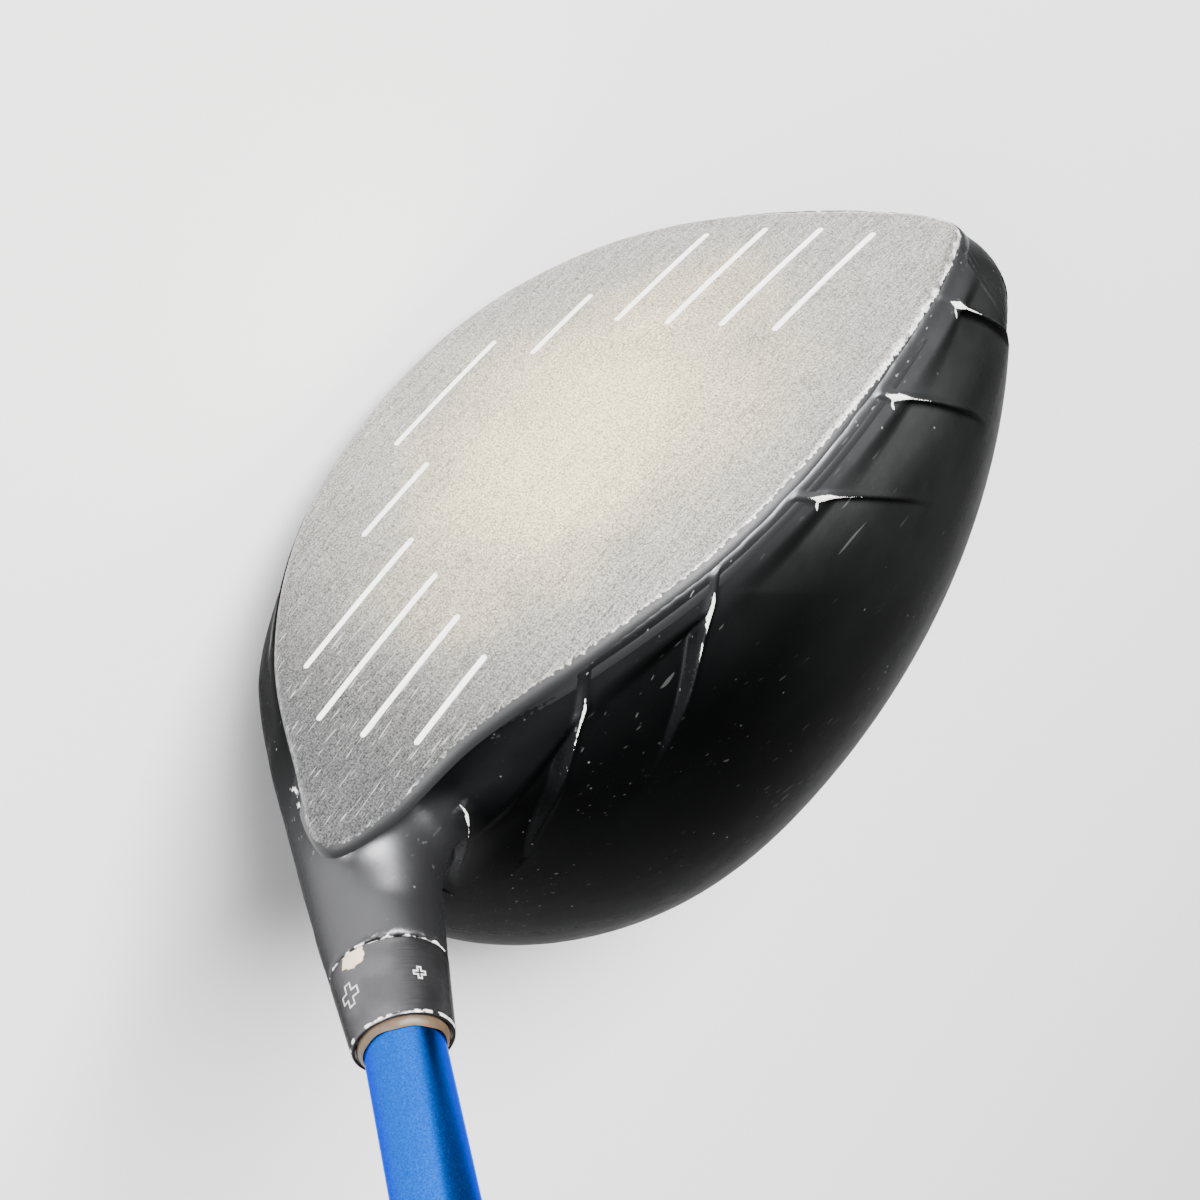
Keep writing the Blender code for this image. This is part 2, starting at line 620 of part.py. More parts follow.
def build_head(hosel, weight):
    """Body casting and crown, cut from one outer form and one hollow."""
    crown = head_outer("crown_shell")
    body = head_outer("body_shell")
    hollow = head_hollow("hollow")
    combine(crown, ridge_fins("ridge_fins"), "UNION")
    combine(crown, hollow, "DIFFERENCE", keep_tool=True)
    combine(crown, seam_block("below_seam", False, SEAM_GAP / 2.0), "DIFFERENCE")
    combine(crown, notch_cutter("barrel_clear", 0.0, hosel), "DIFFERENCE")

    combine(body, turned("neck", [(BARREL_SPLIT, 0.0), (BARREL_SPLIT, barrel_radius(BARREL_SPLIT)),
                                  *BARREL_PROFILE[1:], (HOSEL_TOP, COLLAR_RADIUS), (HOSEL_TOP, 0.0)],
                         parent=hosel), "UNION")
    heel_pod = turned("heel_pod", [(-48.0, 0.0), (-48.0, 7.9), (-20.0, 7.9), BARREL_PROFILE[0],
                                   (BARREL_SPLIT, barrel_radius(BARREL_SPLIT)),
                                   (BARREL_SPLIT + 2.0, barrel_radius(BARREL_SPLIT + 2.0)),
                                   (BARREL_SPLIT + 2.0, 0.0)], parent=hosel)
    combine(heel_pod, rescaled(head_outer("wide_head"), (1.2, 1.0, 1.0)), "INTERSECT")
    combine(body, heel_pod, "UNION")
    combine(body, ground_block("ground"), "DIFFERENCE")
    combine(hollow, turned("barrel_wall", post_profile(-60.0, 30.0, BARREL_WALL_RADIUS),
                           parent=hosel), "DIFFERENCE")
    combine(hollow, turned("port_wall", post_profile(-20.0, PORT_WALL_DEPTH, PORT_WALL_RADIUS),
                           parent=weight), "DIFFERENCE")
    combine(hollow, sound_ribs("rib_blanks"), "DIFFERENCE")
    combine(body, hollow, "DIFFERENCE")
    upper = seam_block("above_seam", True, -SEAM_GAP / 2.0)
    combine(upper, notch_cutter("barrel_keep", SEAM_GAP, hosel), "DIFFERENCE")
    combine(body, upper, "DIFFERENCE")
    combine(body, turned("bore", post_profile(POCKET_TOP - 1.0, HOSEL_TOP + 5.0, BORE_RADIUS),
                         parent=hosel), "DIFFERENCE")
    combine(body, turned("pocket", post_profile(-60.0, POCKET_TOP, POCKET_RADIUS),
                         parent=hosel), "DIFFERENCE")
    recess_radius = WEIGHT_RADIUS + 2.0 * RUNNING_GAP
    bush_radius = BUSH_RADIUS + RUNNING_GAP
    bush_depth = PORT_DEPTH + BUSH_LENGTH + 2.0 * RUNNING_GAP
    combine(body, turned("port", [(-20.0, 0.0), (-20.0, recess_radius), (PORT_DEPTH, recess_radius),
                                  (PORT_DEPTH, bush_radius), (bush_depth, bush_radius),
                                  (bush_depth, 0.0)], parent=weight), "DIFFERENCE")
    for piece in (crown, body):
        piece.hide_render = False
        piece.display_type = "TEXTURED"
        piece.data.materials.clear()
        piece.data.materials.append(material(*BLACK_PAINT))
        drop_crumbs(piece)
        shade(piece)


def ground_block(name):
    """Planes the lowest point of the sole to the small flat land that the club rests on."""
    mesh_data = bmesh.new()
    bmesh.ops.create_cube(mesh_data, size=0.3)
    bmesh.ops.translate(mesh_data, vec=(0.0, 0.0, -0.15), verts=mesh_data.verts)
    return make_object(name, mesh_data)


def sound_ribs(name):
    """Three upright ribs on the inside of the sole, kept low by a smaller copy of the head."""
    mesh_data = bmesh.new()
    for side in (-1, 0, 1):
        turn = -0.18 * side
        bar = bmesh.ops.create_cube(mesh_data, size=1.0)["verts"]
        place = Matrix.Translation(head_to_world((side * RIB_SPACING, 37.0, -24.0)))
        bmesh.ops.scale(mesh_data, vec=(RIB_THICKNESS * MM, RIB_LENGTH * MM, 24.0 * MM), verts=bar)
        bmesh.ops.transform(mesh_data, matrix=place @ Matrix.Rotation(turn, 4, "Z"), verts=bar)
    ribs = make_object(name, mesh_data)
    combine(ribs, rescaled(head_outer("rib_core"), (0.84, 0.84, 0.84)), "DIFFERENCE")
    return ribs


def drop_crumbs(target):
    """Weld near-equal points and keep the largest connected piece of a mesh that Booleans cut."""
    mesh_data = bmesh.new()
    mesh_data.from_mesh(target.data)
    bmesh.ops.remove_doubles(mesh_data, verts=mesh_data.verts, dist=WELD_DISTANCE * MM)
    bmesh.ops.dissolve_degenerate(mesh_data, edges=mesh_data.edges, dist=WELD_DISTANCE * MM)
    waiting = set(mesh_data.faces)
    pieces = []
    while waiting:
        frontier = [waiting.pop()]
        piece = []
        while frontier:
            face = frontier.pop()
            piece.append(face)
            for edge in face.edges:
                for other in edge.link_faces:
                    if other in waiting:
                        waiting.remove(other)
                        frontier.append(other)
        pieces.append(piece)
    pieces.sort(key=len)
    crumbs = [face for piece in pieces[:-1] for face in piece]
    bmesh.ops.delete(mesh_data, geom=crumbs, context="FACES")
    mesh_data.to_mesh(target.data)
    mesh_data.free()


def socket_cutter(name, low, high, parent):
    """A six-lobed wrench socket."""
    mesh_data = bmesh.new()
    loops = []
    for along in (low, high):
        loop = []
        for k in range(24):
            turn = 2.0 * pi * k / 24
            radius = 1.75 + 0.25 * cos(6.0 * turn)
            loop.append(mesh_data.verts.new((radius * cos(turn) * MM, radius * sin(turn) * MM, along * MM)))
        loops.append(loop)
    skin(mesh_data, loops[0], loops[1])
    mesh_data.faces.new(loops[0])
    mesh_data.faces.new(loops[1])
    return make_object(name, mesh_data, parent=parent)


def build_hot_melt_pad():
    """A dab of resin that sits on the inside of the sole, towards the toe."""
    mesh_data = bmesh.new()
    bmesh.ops.create_icosphere(mesh_data, subdivisions=3, radius=1.0)
    bmesh.ops.scale(mesh_data, vec=(11.0 * MM, 9.0 * MM, 5.0 * MM), verts=mesh_data.verts)
    place = head_to_world((-31.0, 40.0, levels(40.0)[2] + 5.5))
    bmesh.ops.translate(mesh_data, vec=place, verts=mesh_data.verts)
    pad = make_object("hot_melt_pad", mesh_data, AMBER_RESIN)
    combine(pad, rescaled(head_hollow("pad_room"), (0.982, 0.982, 0.982)), "INTERSECT")
    shade(pad)


# ---------------------------------------------------------------- adapter, screw and weight
def build_adapter(hosel):
    bolt_clear = SCREW_RADIUS + RUNNING_GAP
    socket = TIP_RADIUS + 0.23
    collar_low = HOSEL_TOP + 0.2
    collar_high = HOSEL_TOP + COLLAR_LENGTH
    sleeve = turned("adapter_sleeve", [
        (SLEEVE_BOTTOM, bolt_clear), (SLEEVE_BOTTOM, SLEEVE_RADIUS - 0.25),
        (SLEEVE_BOTTOM + 0.4, SLEEVE_RADIUS), (collar_low, SLEEVE_RADIUS),
        (collar_low, COLLAR_RADIUS - 0.2), (collar_low + 0.25, COLLAR_RADIUS),
        (collar_high - 0.4, COLLAR_END_RADIUS + 0.07), (collar_high, COLLAR_END_RADIUS - 0.15),
        (collar_high, 5.1), (collar_high - 1.2, socket), (SLEEVE_FLOOR, socket), (SLEEVE_FLOOR, bolt_clear),
    ], BLACK_ANODISED, hosel, closed=True)
    slots = radial_bars("sleeve_slots", SPLINES, pi / SPLINES, SLOT_RADIUS, SLEEVE_RADIUS + 1.0,
                        SLOT_WIDTH, SLEEVE_BOTTOM - 1.0, INSERT_TOP + 0.6, hosel)
    combine(sleeve, slots, "DIFFERENCE")
    shade(sleeve)

    insert_floor = SLEEVE_BOTTOM - 0.3
    ring_radius = SLEEVE_RADIUS + RUNNING_GAP
    insert = turned("spline_insert", [
        (INSERT_BOTTOM, bolt_clear + 0.15), (INSERT_BOTTOM, POCKET_RADIUS - 0.15),
        (INSERT_TOP, POCKET_RADIUS - 0.15), (INSERT_TOP, ring_radius),
        (insert_floor, ring_radius), (insert_floor, bolt_clear + 0.15),
    ], TITANIUM, hosel, closed=True)
    teeth = radial_bars("insert_teeth", SPLINES, pi / SPLINES, SLOT_RADIUS + 0.35, ring_radius + 0.3,
                        SPLINE_WIDTH, insert_floor - 0.4, INSERT_TOP - 0.1, hosel)
    combine(insert, teeth, "UNION")
    shade(insert)

    washer_high = INSERT_BOTTOM - 0.15
    washer_low = washer_high - 1.0
    turned("screw_washer", tube_profile(washer_low, washer_high, bolt_clear + 0.1, 4.8),
           DARK_STEEL, hosel, closed=True)

    head_high = washer_low - 0.15
    head_low = head_high - SCREW_HEAD_HEIGHT
    screw_top = SLEEVE_BOTTOM + SCREW_ENGAGED
    screw = turned("adapter_screw", [
        (head_low, 0.0), (head_low, SCREW_HEAD_RADIUS - 0.4), (head_low + 0.4, SCREW_HEAD_RADIUS),
        (head_high, SCREW_HEAD_RADIUS), (head_high, SCREW_RADIUS), (screw_top - 0.6, SCREW_RADIUS),
        (screw_top, SCREW_RADIUS - 0.6), (screw_top, 0.0)], DARK_STEEL, hosel)
    combine(screw, socket_cutter("screw_socket", head_low - 1.0, head_low + 2.2, hosel), "DIFFERENCE")
    shade(screw)

    ring_high = head_low - SCREW_ENGAGED - 0.4
    turned("screw_retainer", tube_profile(ring_high - 1.3, ring_high, 3.4, POCKET_RADIUS - 0.15),
           WHITE_NYLON, hosel, closed=True)


def build_weight(weight):
    seat = WEIGHT_THICKNESS + 0.3
    hole = SCREW_RADIUS + 0.3
    head = SCREW_HEAD_RADIUS
    turned("rear_weight", [
        (3.5, hole), (seat, hole), (seat, WEIGHT_RADIUS - 0.4), (seat - 0.4, WEIGHT_RADIUS),
        (0.8, WEIGHT_RADIUS), (0.3, WEIGHT_RADIUS - 0.5), (0.3, head + 0.3), (3.5, head + 0.3),
    ], TUNGSTEN, weight, closed=True)
    turned("weight_gasket", tube_profile(seat + 0.2, seat + 1.4, hole, WEIGHT_RADIUS - 0.2),
           BLACK_RUBBER, weight, closed=True)
    bush_low = PORT_DEPTH + RUNNING_GAP
    bush_high = bush_low + BUSH_LENGTH
    turned("weight_bush", tube_profile(bush_low, bush_high, SCREW_RADIUS + RUNNING_GAP, BUSH_RADIUS),
           TITANIUM, weight, closed=True)
    screw_top = bush_high - 0.6
    screw = turned("rear_weight_screw", [
        (0.5, 0.0), (0.5, head - 0.3), (0.8, head), (3.3, head), (3.3, SCREW_RADIUS),
        (screw_top - 0.6, SCREW_RADIUS), (screw_top, SCREW_RADIUS - 0.6), (screw_top, 0.0)],
        DARK_STEEL, weight)
    combine(screw, socket_cutter("weight_socket", -0.5, 2.4, weight), "DIFFERENCE")
    shade(screw)


# ---------------------------------------------------------------- shaft and grip
CAP_END = CLUB_LENGTH - FACE_CENTRE_HEIGHT / sin(LIE)
BUTT_END = CAP_END - 5.2
SHAFT_TAPER = ((SHAFT_START, TIP_RADIUS), (85.0, TIP_RADIUS), (300.0, 5.05), (600.0, 6.30),
               (880.0, 7.40), (BUTT_END, BUTT_RADIUS))


def shaft_radius(along):
    for (low, first), (high, second) in zip(SHAFT_TAPER, SHAFT_TAPER[1:]):
        if along <= high:
            return first + (second - first) * (along - low) / (high - low)
    return BUTT_RADIUS


def build_shaft(hosel):
    outside = [(SHAFT_START, TIP_RADIUS - 0.2), (SHAFT_START + 0.4, TIP_RADIUS)] + list(SHAFT_TAPER[1:])
    inside = [(along, radius - 1.0 - 0.25 * (1.0 - along / BUTT_END)) for along, radius in SHAFT_TAPER]
    turned("shaft", outside + inside[::-1], BLUE_LACQUER, hosel, closed=True)
    bore = TIP_RADIUS - 1.25
    plug_low = SHAFT_START + 0.5
    plug_high = plug_low + 3.0
    turned("tip_plug", post_profile(plug_low, plug_high, bore - RUNNING_GAP), WHITE_NYLON, hosel)
    ballast_low, ballast_high = plug_high + 0.3, plug_high + 15.0
    turned("tip_weight", [(ballast_low, 0.0), (ballast_low, bore - 0.2), (ballast_high - 0.6, bore - 0.2),
                          (ballast_high, bore - 0.8), (ballast_high, 0.0)], BRASS, hosel)
    mouth = HOSEL_TOP + COLLAR_LENGTH
    inner = TIP_RADIUS + 0.1
    turned("epoxy_bead", [(mouth - 0.9, inner), (mouth - 0.9, inner + 0.13), (mouth - 0.1, 4.93),
                          (mouth + 0.35, 4.8), (mouth + 0.75, inner)],
           TAN_EPOXY, hosel, closed=True)


def build_grip(hosel):
    low, high = CAP_END - GRIP_LENGTH, CAP_END - 3.9
    stations = [low + (high - low) * share for share in (0.0, 0.25, 0.5, 0.75, 1.0)]
    tape_outside = [(along, shaft_radius(along) + 0.32) for along in stations]
    tape_outside[0] = (low + 3.0, shaft_radius(low + 3.0) + 0.32)
    tape_outside[-1] = (BUTT_END - 1.0, shaft_radius(BUTT_END - 1.0) + 0.32)
    tape_inside = [(along, radius - 0.2) for along, radius in tape_outside]
    turned("grip_tape", tape_outside + tape_inside[::-1], CREAM_TAPE, hosel, closed=True)
    grip_outside = [(low, GRIP_MOUTH_RADIUS - 0.7), (low + 0.8, GRIP_MOUTH_RADIUS)]
    for k in range(1, 11):
        share = k / 10.0
        radius = GRIP_MOUTH_RADIUS + (GRIP_TOP_RADIUS - GRIP_MOUTH_RADIUS) * share ** 1.2
        grip_outside.append((low + (high - 14.0 - low) * share, radius))
    grip_outside += [(high - 6.0, GRIP_TOP_RADIUS + 0.6), (high, GRIP_TOP_RADIUS + 1.6)]
    bore = [(along, shaft_radius(along) + 0.44) for along in stations]
    turned("grip", grip_outside + bore[::-1], BLACK_RUBBER, hosel, closed=True)
    cap = GRIP_TOP_RADIUS + 1.6
    turned("grip_cap", [(high + 0.2, 1.2), (high + 0.2, cap), (CAP_END - 0.8, cap),
                        (CAP_END, cap - 0.9), (CAP_END, 1.2)], BLACK_RUBBER, hosel, closed=True)


def main():
    for existing in list(bpy.data.objects):
        bpy.data.objects.remove(existing)
    hosel = axis_empty("hosel_axis", head_to_world((HOSEL_X, HOSEL_Y, 0.0)), HOSEL_DIRECTION)
    weight = axis_empty("weight_axis", head_to_world(weight_point()), WEIGHT_DIRECTION)
    bpy.context.view_layer.update()
    build_head(hosel, weight)
    build_face_plate()
    build_hot_melt_pad()
    build_adapter(hosel)
    build_weight(weight)
    build_shaft(hosel)
    build_grip(hosel)


main()
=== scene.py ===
"""Looks of the golf driver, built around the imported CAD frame.

The head is shaped in its own frame, in millimetres: origin at the centre of the face, x towards the
heel, y into the head and z up.  to_world() carries a point to the shared frame, in metres.
"""

from math import atan2, cos, pi, radians, sin, sqrt

import bmesh
import bpy
import numpy as np
from mathutils import Matrix, Vector


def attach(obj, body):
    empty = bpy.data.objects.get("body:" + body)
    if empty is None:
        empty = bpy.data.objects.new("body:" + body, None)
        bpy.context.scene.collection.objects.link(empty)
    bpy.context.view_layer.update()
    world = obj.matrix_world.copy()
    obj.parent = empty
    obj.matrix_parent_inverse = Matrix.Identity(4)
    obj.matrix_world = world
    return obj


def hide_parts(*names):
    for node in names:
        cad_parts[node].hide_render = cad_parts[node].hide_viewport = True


MM = 0.001
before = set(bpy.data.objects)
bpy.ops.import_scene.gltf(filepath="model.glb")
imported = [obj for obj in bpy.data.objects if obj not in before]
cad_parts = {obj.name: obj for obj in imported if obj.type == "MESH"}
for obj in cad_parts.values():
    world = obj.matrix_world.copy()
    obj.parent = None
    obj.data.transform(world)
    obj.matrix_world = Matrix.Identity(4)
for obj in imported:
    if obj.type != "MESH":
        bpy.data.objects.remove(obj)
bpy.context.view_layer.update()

# ---------------------------------------------------------------- head form (mm), as in the CAD
SOLE_REST_X, SOLE_REST_Y, FACE_CENTRE_HEIGHT = 12.5, 36.0, 31.8
LOFT = radians(8.9)
BULGE_RADIUS, ROLL_RADIUS = 344.0, 309.0
FACE_HALF_WIDTH = 54.9
TOE_HALF_WIDTH, TOE_WIDEST_Y = 63.4, 36.0
HEEL_HALF_WIDTH, HEEL_WIDEST_Y = 51.4, 32.0
TAIL_Y, TAIL_Z = 97.3, -11.0
PLAN_POWER = 2.04
CROWN_TOP, CROWN_FRONT, CROWN_TOP_Y, CROWN_POWER = 30.75, 29.5, 18.0, 1.5
SOLE_LOW, SOLE_FRONT, SOLE_LOW_Y, SOLE_POWER = -31.2, -27.0, 34.0, 1.88
EQUATOR_FRONT, EQUATOR_TAIL = 0.76, 0.37
SHEAR_FRONT, SHEAR_TAIL = -0.12, -0.14
CROWN_ROUND_TOE, CROWN_ROUND_HEEL, SOLE_ROUND = 1.96, 1.76, 2.13
CROWN_BLEND, SOLE_BLEND = 13.0, 8.0
FACE_OUTLINE = (                           # x, height on the face; toe tip, crown, heel tip, sole
    (-55.4, 19.6), (-50.0, 23.0), (-34.0, 26.8), (-13.0, 28.8),
    (4.0, 27.5), (20.0, 23.2), (36.0, 17.6), (49.0, 15.0),
    (54.9, 10.8), (49.5, 1.2), (40.0, -12.0), (25.0, -22.4),
    (4.0, -27.3), (-16.0, -25.5), (-34.0, -16.3), (-46.8, -0.7),
)

SCORE_PITCH, SCORE_FIRST = 6.26, -18.7
SCORE_WIDTH, SCORE_DEPTH = 0.84, 0.4
CENTRE_SCORE_HALF = 9.8
SIDE_SCORES = (                            # inner end, outer end at the toe, outer end at the heel
    (9.9, 22.0, 22.3), (19.4, 38.3, 39.4), (21.8, 42.6, 43.5), (24.7, 45.9, 42.3), (27.1, 48.3, 39.7),
)

RIDGES = (                                 # tip x, tip y, end x, end y, bow, from the toe to the heel
    (-44.8, 11.3, -52.4, 24.0, 0.6), (-27.4, 9.7, -39.6, 25.0, 1.0), (-10.7, 9.7, -24.5, 24.0, 1.0),
    (7.3, 9.4, 22.4, 24.7, 1.0), (24.8, 10.2, 37.8, 28.4, 2.4), (40.8, 14.5, 44.9, 31.0, 0.8),
)
RIDGE_HEIGHT, RIDGE_WIDTH = 0.35, 0.5
LIP_WIDTH = 4.2
RECESS_DEPTH, RECESS_LENGTH = 2.1, 23.0
PANEL_STRENGTH = (1.0, 0.8, 0.7, 1.0, 1.0, 0.8)
PANEL_REACH = 16.0
TIP_CHIP_AND_HIGHLIGHT = (1.0, 1.0, 1.0, 0.55, 0.3, 0.2)      # how big the white mark at each ridge tip is: chipped paint and a painted highlight down the crest

LIE = radians(57.5)
HOSEL_X, HOSEL_Y, HOSEL_TOP = 47.4, 17.9, 22.3
BARREL = ((-20.0, 7.9), (-5.0, 8.65), (10.4, 8.0), (17.0, 7.2), (HOSEL_TOP, 6.53))
BORE_RADIUS, POCKET_RADIUS, POCKET_TOP = 5.5, 6.7, 8.3
SLEEVE_RADIUS, SLEEVE_BOTTOM, SLEEVE_FLOOR = 5.2, -1.0, 11.2
COLLAR_RADIUS, COLLAR_END_RADIUS, COLLAR_LENGTH = 6.53, 5.55, 9.4
SPLINES, SLOT_WIDTH, SLOT_RADIUS, INSERT_TOP = 8, 1.9, 4.1, 8.0
TIP_RADIUS = 4.37
CLUB_LENGTH, GRIP_LENGTH = 1149.0, 267.0
GRIP_MOUTH_RADIUS, GRIP_TOP_RADIUS = 9.5, 13.4
CAP_END = CLUB_LENGTH - FACE_CENTRE_HEIGHT / sin(LIE)
BUTT_END = CAP_END - 5.2
SHAFT_TAPER = ((SLEEVE_FLOOR + 0.5, TIP_RADIUS), (85.0, TIP_RADIUS), (300.0, 5.05), (600.0, 6.30),
               (880.0, 7.40), (BUTT_END, 7.62))

WEIGHT_Y, WEIGHT_RADIUS, WEIGHT_TILT = 77.0, 9.0, radians(17.5)
PORT_DEPTH = 8.0

COLUMNS = 240
ROUND_SEGMENTS = 128
VOXEL = 0.5


def smooth(value):
    value = min(max(value, 0.0), 1.0)
    return value * value * (3.0 - 2.0 * value)


def signed_power(value, power):
    return (1.0 if value >= 0.0 else -1.0) * abs(value) ** power


def to_world(point):
    x, y, z = point
    return Vector((x - SOLE_REST_X, y - SOLE_REST_Y, z + FACE_CENTRE_HEIGHT)) * MM


def to_head(place):
    return (place[0] / MM + SOLE_REST_X, place[1] / MM + SOLE_REST_Y, place[2] / MM - FACE_CENTRE_HEIGHT)


HOSEL_DIRECTION = Vector((cos(LIE), 0.0, sin(LIE)))
HOSEL_POINT = to_world((HOSEL_X, HOSEL_Y, 0.0))
WEIGHT_DIRECTION = Vector((0.0, -sin(WEIGHT_TILT), cos(WEIGHT_TILT)))


def axis_matrix(origin, direction):
    return Matrix.Translation(origin) @ direction.to_track_quat("Z", "Y").to_matrix().to_4x4()


HOSEL_AXIS = axis_matrix(HOSEL_POINT, HOSEL_DIRECTION)


def hosel_place(place):
    """How far a point lies along the hosel's axis, and how far off it, in mm."""
    offset = place - HOSEL_POINT
    along = offset.dot(HOSEL_DIRECTION)
    return along / MM, (offset - HOSEL_DIRECTION * along).length / MM


def ring_point(axis, radius, turn, along):
    """A point on a ring round an axis, from millimetres."""
    return axis @ (Vector((radius * cos(turn), radius * sin(turn), along)) * MM)


def turns(count):
    return [2.0 * pi * k / count for k in range(count)]


# ---------------------------------------------------------------- mesh helpers
def make_object(name, mesh_data, shaded=True):
    bmesh.ops.recalc_face_normals(mesh_data, faces=mesh_data.faces)
    mesh = bpy.data.meshes.new(name)
    mesh_data.to_mesh(mesh)
    mesh_data.free()
    if shaded:
        mesh.shade_smooth()
    made = bpy.data.objects.new(name, mesh)
    bpy.context.scene.collection.objects.link(made)
    return made


def apply_modifiers(target):
    """Keep the evaluated mesh and drop the modifiers."""
    bpy.context.view_layer.update()
    evaluated = target.evaluated_get(bpy.context.evaluated_depsgraph_get())
    result = bpy.data.meshes.new_from_object(evaluated)
    target.modifiers.clear()
    target.data = result


def combine(target, tool, operation):
    modifier = target.modifiers.new("combine", "BOOLEAN")
    modifier.operation = operation
    modifier.solver = "MANIFOLD"
    modifier.object = tool
    apply_modifiers(target)
    bpy.data.objects.remove(tool)


def skin(mesh_data, first, second):
    """Join two closed loops of equal length with quads, or a loop to a single vertex."""
    count = max(len(first), len(second))
    for index in range(count):
        after = (index + 1) % count
        corners = [first[index % len(first)], first[after % len(first)],
                   second[after % len(second)], second[index % len(second)]]
        mesh_data.faces.new(list(dict.fromkeys(corners)))


def turned(name, profile, axis=None, closed=False, segments=ROUND_SEGMENTS, sharp=32.0):
    """Turn a profile of (along, radius) pairs, in mm, around an axis; the hosel's unless another is given."""
    mesh_data = bmesh.new()
    axis = HOSEL_AXIS if axis is None else axis
    loops = []
    for along, radius in profile:
        if radius == 0.0:
            loops.append([mesh_data.verts.new(axis @ Vector((0.0, 0.0, along * MM)))])
            continue
        loops.append([mesh_data.verts.new(ring_point(axis, radius, turn, along)) for turn in turns(segments)])
    for first, second in zip(loops, loops[1:]):
        skin(mesh_data, first, second)
    if closed:
        skin(mesh_data, loops[-1], loops[0])
    made = make_object(name, mesh_data)
    made.data.set_sharp_from_angle(angle=radians(sharp))
    return made


def crisp(target, degrees):
    """Shade smooth, with edges sharper than an angle kept."""
    target.data.shade_smooth()
    target.data.set_sharp_from_angle(angle=radians(degrees))


def post(name, low, high, radius, axis=None):
    return turned(name, [(low, 0.0), (low, radius), (high, radius), (high, 0.0)], axis)


def store(target, name, values):
    """Keep one number for each vertex, for the materials to read."""
    attribute = target.data.attributes.new(name, "FLOAT", "POINT")
    attribute.data.foreach_set("value", values)


# ---------------------------------------------------------------- the head's surface
def closed_spline(points, count):
    """A smooth closed curve through the points, sampled at even spacing."""
    corners = [Vector(point) for point in points]
    total = len(corners)
    knots = [sqrt((corners[(k + 1) % total] - corners[k]).length) for k in range(total)]
    slopes = []
    for k in range(total):
        before, after = knots[k - 1], knots[k]
        backward = (corners[k] - corners[k - 1]) / before
        forward = (corners[(k + 1) % total] - corners[k]) / after
        slopes.append((backward * after + forward * before) / (before + after))
    dense = []
    for k in range(total):
        start, end = corners[k], corners[(k + 1) % total]
        leave, arrive = slopes[k] * knots[k], slopes[(k + 1) % total] * knots[k]
        for step in range(48):
            t = step / 48.0
            dense.append(start * (1 + 2 * t) * (1 - t) ** 2 + leave * t * (1 - t) ** 2
                         + end * t * t * (3 - 2 * t) + arrive * t * t * (t - 1))
    lengths = [0.0]
    for first, second in zip(dense, dense[1:] + dense[:1]):
        lengths.append(lengths[-1] + (second - first).length)
    samples = []
    segment = 0
    for k in range(count):
        wanted = lengths[-1] * k / count
        while lengths[segment + 1] < wanted:
            segment += 1
        share = (wanted - lengths[segment]) / (lengths[segment + 1] - lengths[segment])
        samples.append(dense[segment].lerp(dense[(segment + 1) % len(dense)], share))
    return samples


def face_point(x, height):
    """The striking surface: bulge and roll on a plane tilted back by the loft."""
    sag = x * x / (2 * BULGE_RADIUS) + height * height / (2 * ROLL_RADIUS)
    return (x, height * sin(LOFT) + sag * cos(LOFT), height * cos(LOFT) - sag * sin(LOFT))


def face_depth(x, z):
    """The striking surface's y at a given x and z."""
    height = z / cos(LOFT)
    for _ in range(3):
        sag = x * x / (2 * BULGE_RADIUS) + height * height / (2 * ROLL_RADIUS)
        height = (z + sag * sin(LOFT)) / cos(LOFT)
    return height * sin(LOFT) + sag * cos(LOFT)


def swell(y, peak, front, peak_y, end, power):
    """A value that rises from front to peak, then falls to end at the tail like a superellipse."""
    if y <= peak_y:
        return peak - (peak - front) * ((peak_y - y) / peak_y) ** 2
    share = min((y - peak_y) / (TAIL_Y - peak_y), 1.0)
    return end + (peak - end) * (1.0 - share ** power) ** (1.0 / power)


def levels(y):
    """Crown, widest and sole heights of the section at y."""
    crown = swell(y, CROWN_TOP, CROWN_FRONT, CROWN_TOP_Y, TAIL_Z, CROWN_POWER)
    sole = swell(y, SOLE_LOW, SOLE_FRONT, SOLE_LOW_Y, TAIL_Z, SOLE_POWER)
    forward = 1.0 - min(max(y / TAIL_Y, 0.0), 1.0)
    share = EQUATOR_TAIL + (EQUATOR_FRONT - EQUATOR_TAIL) * forward ** 2
    return crown, sole + (crown - sole) * share, sole


def shear(y):
    return SHEAR_FRONT + (SHEAR_TAIL - SHEAR_FRONT) * min(max(y / TAIL_Y, 0.0), 1.0)


def section(y, angle):
    """x and z of the body's cross section at depth y; angle 0 is the heel, 90 degrees the crown."""
    crown, widest, sole = levels(y)
    across, up = cos(angle), sin(angle)
    if across >= 0.0:
        width = swell(y, HEEL_HALF_WIDTH, FACE_HALF_WIDTH, HEEL_WIDEST_Y, 0.0, PLAN_POWER)
    else:
        width = swell(y, TOE_HALF_WIDTH, FACE_HALF_WIDTH, TOE_WIDEST_Y, 0.0, PLAN_POWER)
    power = SOLE_ROUND
    if up >= 0.0:
        heel_share = across ** 2 if across > 0.0 else 0.0
        power = CROWN_ROUND_TOE + (CROWN_ROUND_HEEL - CROWN_ROUND_TOE) * heel_share
    x = width * signed_power(across, 2.0 / power)
    rise = crown - widest if up >= 0.0 else widest - sole
    return x, widest + rise * signed_power(up, 2.0 / power) + shear(y) * x


